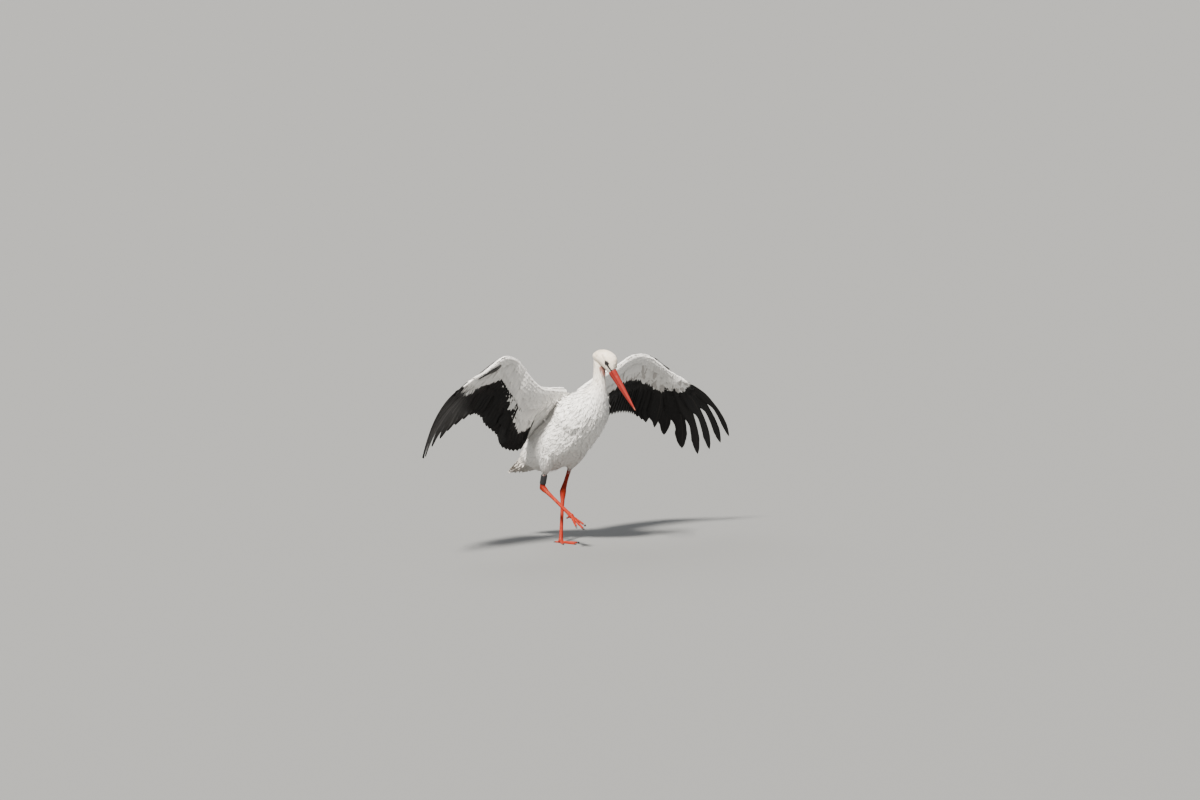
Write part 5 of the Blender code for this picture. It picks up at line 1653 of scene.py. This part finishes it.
# %% Shape of the bill
def bill_half(name, sign):
    """One half of the bill, as rings from base to tip: the upper half has sign 1, and the lower one -1."""
    rows, count = 60, 15
    s = np.linspace(0, 1, rows) ** 1.05
    taper = (1 - s) ** 0.80
    depth, width = 0.0162 * taper + 0.0014, 0.0128 * taper + 0.0012
    length = BILL_LENGTH * (s if sign > 0 else s * 0.985) + 0.0004
    centre = bill_base + bill_way * length[:, None] - crown_way * (0.0015 * (1 - s))[:, None]
    angle = np.linspace(0, math.pi, count)
    rings = np.empty((rows, count, 3))
    for k, a in enumerate(angle):
        lift = np.sin(a) ** 0.9
        keel = 1 + (0.03 * np.exp(-((a - math.pi / 2) / 0.25) ** 2) if sign > 0 else 0.0)
        tuck = 1 - 0.05 * math.cos(a) ** 8
        slit = (np.exp(-((s - 0.135) / 0.030) ** 4) * np.exp(-((abs(math.cos(a)) - 0.80) / 0.055) ** 2)
                * (sign > 0))
        rings[:, k] = (centre + head_left * (width * math.cos(a) * tuck * (1 - 0.16 * slit))[:, None]
                       + crown_way * (sign * (depth * lift * keel * (1 - 0.05 * slit) + 0.0002))[:, None])
    rings[:, 0] += crown_way * sign * 0.0002
    base, tip = tuple(range(count)), tuple(range((rows - 1) * count, rows * count))
    faces = ring_faces(rows, count, flip=sign > 0)
    faces += [base, tip[::-1]] if sign > 0 else [base[::-1], tip]
    return add_object(name, rings.reshape(-1, 3), faces, [BILL])


print("bill shape ready")


# %% Finish of the bill
BILL, tree, shader = finish("red_bill_horn", Roughness=0.4, Specular_IOR_Level=0.15)
place = position(tree)
offset = node(tree, "ShaderNodeVectorMath", ((0, place), (1, tuple(bill_base))),
              operation="SUBTRACT").outputs[0]
along = maths(tree, "DIVIDE", dot(tree, offset, bill_way), BILL_LENGTH)
aside, above_mid = dot(tree, offset, head_left), dot(tree, offset, crown_way)
furrow_place = node(tree, "ShaderNodeCombineXYZ", ((0, maths(tree, "MULTIPLY", along, 3.0)), (1, maths(
    tree, "MULTIPLY", aside, 900.0)), (2, maths(tree, "MULTIPLY", above_mid, 900.0)))).outputs[0]
furrow, blotch = noise(tree, furrow_place, 1.0), noise(tree, place, 55.0)
red = blend_colour(tree, ramp(tree, along, 0.05, 0.75), (0.150, 0.0085, 0.0065, 1), (0.190, 0.016, 0.012, 1))
red = blend_colour(tree, ramp(tree, along, 0.90, 0.985), red, (0.30, 0.13, 0.09, 1))
# Painted shade: the bill is a darker red below its middle, as its underside would lie in shade
red = blend_colour(tree, ramp(tree, above_mid, 0.0, -0.006, 0.0, 0.45), red, (0.105, 0.0075, 0.006, 1))
red = blend_colour(tree, maths(tree, "MULTIPLY", blotch, 0.45), red, (0.130, 0.0095, 0.007, 1))
red = blend_colour(tree, maths(tree, "MULTIPLY", furrow, 0.35), red, (0.24, 0.028, 0.020, 1))
from_gape = maths(tree, "ABSOLUTE", maths(tree, "ADD", above_mid, 0.0012))
gape = ramp(tree, from_gape, 0.0012, 0.0003, smooth=True)
red = blend_colour(tree, maths(tree, "MULTIPLY", gape, 0.8), red, (0.050, 0.006, 0.005, 1))
feed(tree, shader, furrow, 0.3, 0.0005, Base_Color=red, Roughness=ramp(tree, furrow, first=0.33, last=0.55))
bill = [(bill_half("bill_upper_horn", 1), "bill_upper"), (bill_half("bill_lower_horn", -1), "bill_lower")]
print("bill", BILL_LENGTH, "m long")

# %% [markdown]
# ## Eyes
# An eye is a dark brown ball with a black pupil, under a clear, wet surface. It sits in a ring of lids that
# leaves an almond open, a little pointed in front and behind. The lids are black like the skin round them.


# %% Finishes of the eye
def eye_frame(side):
    """An eye's centre, and its directions out, ahead and up. The left eye has side 1, the right one -1."""
    centre = (bill_base - bill_way * EYE_PLACE[0] + crown_way * EYE_PLACE[1]
              + head_left * (EYE_PLACE[2] * side))
    out = unit(head_left * side + bill_way * 0.20 + crown_way * 0.04)
    ahead = unit(bill_way - out * (bill_way @ out))
    return centre, out, ahead, np.cross(out, ahead) * side


EYEBALL, tree, shader = finish("dark_eye", Roughness=0.06, Coat_Weight=1.0, Coat_Roughness=0.02)
ring_map = node(tree, "ShaderNodeUVMap", uv_map="ring").outputs[0]
ring = node(tree, "ShaderNodeSeparateXYZ", ((0, ring_map),)).outputs
streaks = node(tree, "ShaderNodeTexNoise", (("W", maths(tree, "MULTIPLY", ring[0], 60.0)), ("Scale", 1.0)),
               noise_dimensions="1D").outputs[0]
iris = blend_colour(tree, streaks, (0.010, 0.0045, 0.003, 1), (0.026, 0.011, 0.006, 1))
PUPIL, IRIS = (0.155, 0.175), (0.30, 0.34)        # soft edges, as shares of the way from front to back
iris = blend_colour(tree, ramp(tree, ring[1], *PUPIL), (0.002, 0.002, 0.002, 1), iris)
iris = blend_colour(tree, ramp(tree, ring[1], *IRIS), iris, (0.004, 0.003, 0.003, 1))
tree.links.new(iris, shader.inputs["Base Color"])
LID, tree, shader = finish("black_lid_skin", Roughness=0.42)
crease = cell_edges(tree, position(tree), 1400.0)
feed(tree, shader, crease, 0.5, 0.0004,
     Base_Color=blend_colour(tree, crease, (0.0025, 0.0025, 0.003, 1), (0.010, 0.009, 0.0095, 1)))
print("eye finishes ready")


# %% Eyeballs and lids
def cells_round(rows, count, flip):
    """Corners (ring, place on it) of the quads between the rings round an eye's axis."""
    cells = [[(i, k), (i + 1, k), (i + 1, k + 1), (i, k + 1)] for i in range(rows - 1) for k in range(count)]
    return [cell[::-1] for cell in cells] if flip else cells


def cell_faces(cells, count):
    """The same quads by point number."""
    return [tuple(a * count + b % count for a, b in cell) for cell in cells]


eyes = []
for side, sign in (("left", 1), ("right", -1)):
    centre, out, ahead, up = eye_frame(sign)
    count, rows = 32, 20
    phi = np.linspace(0, 2 * math.pi, count, endpoint=False)
    round_axis = ahead * np.cos(phi)[:, None] + up * np.sin(phi)[:, None]
    theta = np.linspace(0.0, math.pi, rows)
    bulge = EYE_RADIUS * (0.93 + 0.07 * np.exp(-(theta / 0.55) ** 2))
    rings = (centre + (out * np.cos(theta)[:, None])[:, None] * bulge[:, None, None]
             + round_axis[None] * (bulge * np.sin(theta))[:, None, None])
    rings[[0, -1]] += 1e-5 * round_axis
    cells = cells_round(rows, count, sign < 0)
    ball = add_object(f"eyeball_{side}", rings.reshape(-1, 3), cell_faces(cells, count), [EYEBALL])
    corner_map(ball.data, "ring", [(b / count, a / (rows - 1)) for cell in cells for a, b in cell])
    corner = np.abs(np.cos(phi)) ** 3
    open_to = np.radians(37 + 15 * corner - 5 * np.maximum(np.sin(phi), 0) ** 2)
    shell = []
    for radius, extra in ((0.955, 0.0), (1.015, -0.02), (1.06, 0.03), (1.075, 0.12), (1.06, 0.28),
                          (1.04, 0.50), (1.02, 0.75), (0.98, 1.0)):
        polar = open_to + extra * (1.45 - open_to)
        longer = 1 + 0.25 * extra * np.cos(phi) ** 2
        shell.append(centre + EYE_RADIUS * radius * (out * np.cos(polar)[:, None]
                                                     + round_axis * (np.sin(polar) * longer)[:, None]))
    faces = cell_faces(cells_round(len(shell), count, sign < 0), count)
    lids = add_object(f"lids_{side}", np.concatenate(shell), faces, [LID])
    rounder = lids.modifiers.new("round", "SUBSURF")
    rounder.levels = rounder.render_levels = 1
    apply_modifiers(lids)
    eyes.append((ball, lids, f"eye_{side}"))
print(len(eyes), "eyes")

# %% [markdown]
# ## Claws
# The claws are short, blunt and dark. A smooth tube that shrinks and dips along the toe is enough for
# each, drawn through the middle of its solid.

# %% Claws
HORN, tree, shader = finish("dark_claw_horn", Roughness=0.4)
grain = noise(tree, position(tree), 300.0)
feed(tree, shader, grain, 0.3, 0.0003,
     Base_Color=blend_colour(tree, grain, (0.010, 0.006, 0.005, 1), (0.045, 0.020, 0.013, 1)))
CLAW_RINGS, CLAW_POINTS = 11, 14
claws = []
for side in ("left", "right"):
    for toe in ("inner", "middle", "outer", "hind"):
        solid = nodes[f"claw_{side}_{toe}"].data
        points = vertex_array(solid)
        half = len(points) // 3
        rings = points[:half * 3].reshape(3, half, 3)
        path = rings.mean(1)
        radius = np.linalg.norm(rings - path[:, None], axis=-1).mean(1)
        t = np.linspace(0, 2, CLAW_RINGS)
        path = spline(np.concatenate((path[:1] - (path[1] - path[0]) * 0.25, path[1:])), t)
        radius = spline(radius[:, None], t)[:, 0] * np.interp(t, (0, 0.3, 1.7, 2), (1.02, 1.05, 1.0, 0.35))
        ahead = unit(np.gradient(path, axis=0))
        across = unit(np.cross(ahead, (0, 0, 1.0)))
        upward = np.cross(across, ahead)
        turn = np.linspace(0, 2 * math.pi, CLAW_POINTS, endpoint=False)
        tube = (path[:, None] + across[:, None] * np.cos(turn)[None, :, None] * radius[:, None, None] * 0.9
                + upward[:, None] * np.sin(turn)[None, :, None] * radius[:, None, None])
        tube[..., 2] = np.maximum(tube[..., 2], 0.0)
        tip = tuple(range((CLAW_RINGS - 1) * CLAW_POINTS, CLAW_RINGS * CLAW_POINTS))
        faces = ring_faces(CLAW_RINGS, CLAW_POINTS) + [tuple(range(CLAW_POINTS))[::-1], tip]
        horn = add_object(f"claw_horn_{side}_{toe}", tube.reshape(-1, 3), faces, [HORN])
        claws.append((horn, f"claw_{side}_{toe}"))
print(len(claws), "claws")

# %% [markdown]
# ## Leg ring
# The ring is a plain plastic tube with rounded rims and a lap joint, and it slides freely above the ankle.
# It carries no text. We turn its wall's outline round the leg, and let the wall bulge where it overlaps.

# %% Leg ring
PLASTIC, tree, shader = finish("black_ring_plastic", Roughness=0.35, Specular_IOR_Level=0.5)
scuff = noise(tree, position(tree), 120.0, 5.0, 0.7)
feed(tree, shader, scuff, 0.15, 0.0003, Roughness=ramp(tree, scuff, first=0.25, last=0.60),
     Base_Color=blend_colour(tree, scuff, (0.006, 0.006, 0.007, 1), (0.020, 0.020, 0.022, 1)))

knee, ankle = at(-0.055, 0.032, 0.430), at(-0.050, -0.026, 0.2245)
shin = unit(ankle - knee)
across = unit(np.cross(shin, (1.0, 0, 0)))
upward = np.cross(shin, across)
# outline of the wall: radius, and share of the ring's length
PROFILE = ((0.0112, 0.02), (0.0113, 0.0), (0.0122, -0.012), (0.0132, 0.0), (0.0134, 0.03), (0.0134, 0.5),
           (0.0134, 0.97), (0.0132, 1.0), (0.0122, 1.012), (0.0113, 1.0), (0.0112, 0.98), (0.0112, 0.5))
count, rings = 64, []
turn = np.linspace(0, 2 * math.pi, count, endpoint=False)
for radius, s in PROFILE:
    lap = 0.0006 * (np.abs(((turn / (2 * math.pi)) + 0.08) % 1.0) < 0.30) * (radius > 0.012)
    out = across * np.cos(turn)[:, None] + upward * np.sin(turn)[:, None]
    wall = radius - 0.0006 * (radius > 0.012) + lap
    rings.append(ankle - shin * (0.015 + 0.036 * s) + out * wall[:, None])
leg_ring = add_object("leg_ring_band", np.concatenate(rings), ring_faces(len(rings), count, closed=True),
                      [PLASTIC])
print("ring", round(2000 * max(radius for radius, _ in PROFILE), 1), "mm across")

# %% [markdown]
# ## Put the pieces on the body
# Nothing on this bird moves, so each piece rides on the one body. The solids that a piece stands for
# are hidden.


# %% Ride and replace
def settle(piece, slot, *replaced):
    """Puts a piece on the one body, in place of the solids that it stands for. The slot is not used."""
    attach(piece, "root")
    if replaced:
        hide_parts(*replaced)


settle(skin, "white_plumage", *FLESH)
for piece in coat:
    settle(piece, "white_plumage")
settle(tail, "white_plumage", "tail")
for piece, replaced in flight:
    settle(piece, "black_plumage", replaced)
for piece, replaced in bill:
    settle(piece, "red_horn", replaced)
for ball, lids, replaced in eyes:
    settle(ball, "eye", replaced)
    settle(lids, "eye")
for piece, replaced in claws:
    settle(piece, "dark_horn", replaced)
settle(leg_ring, "ring_plastic", "leg_ring")
pieces = [o for o in scene.objects if o.type == "MESH" and o.name not in nodes and o.name != "floor"]
print("visible triangles", sum(len(p.vertices) - 2 for o in pieces for p in o.data.polygons))
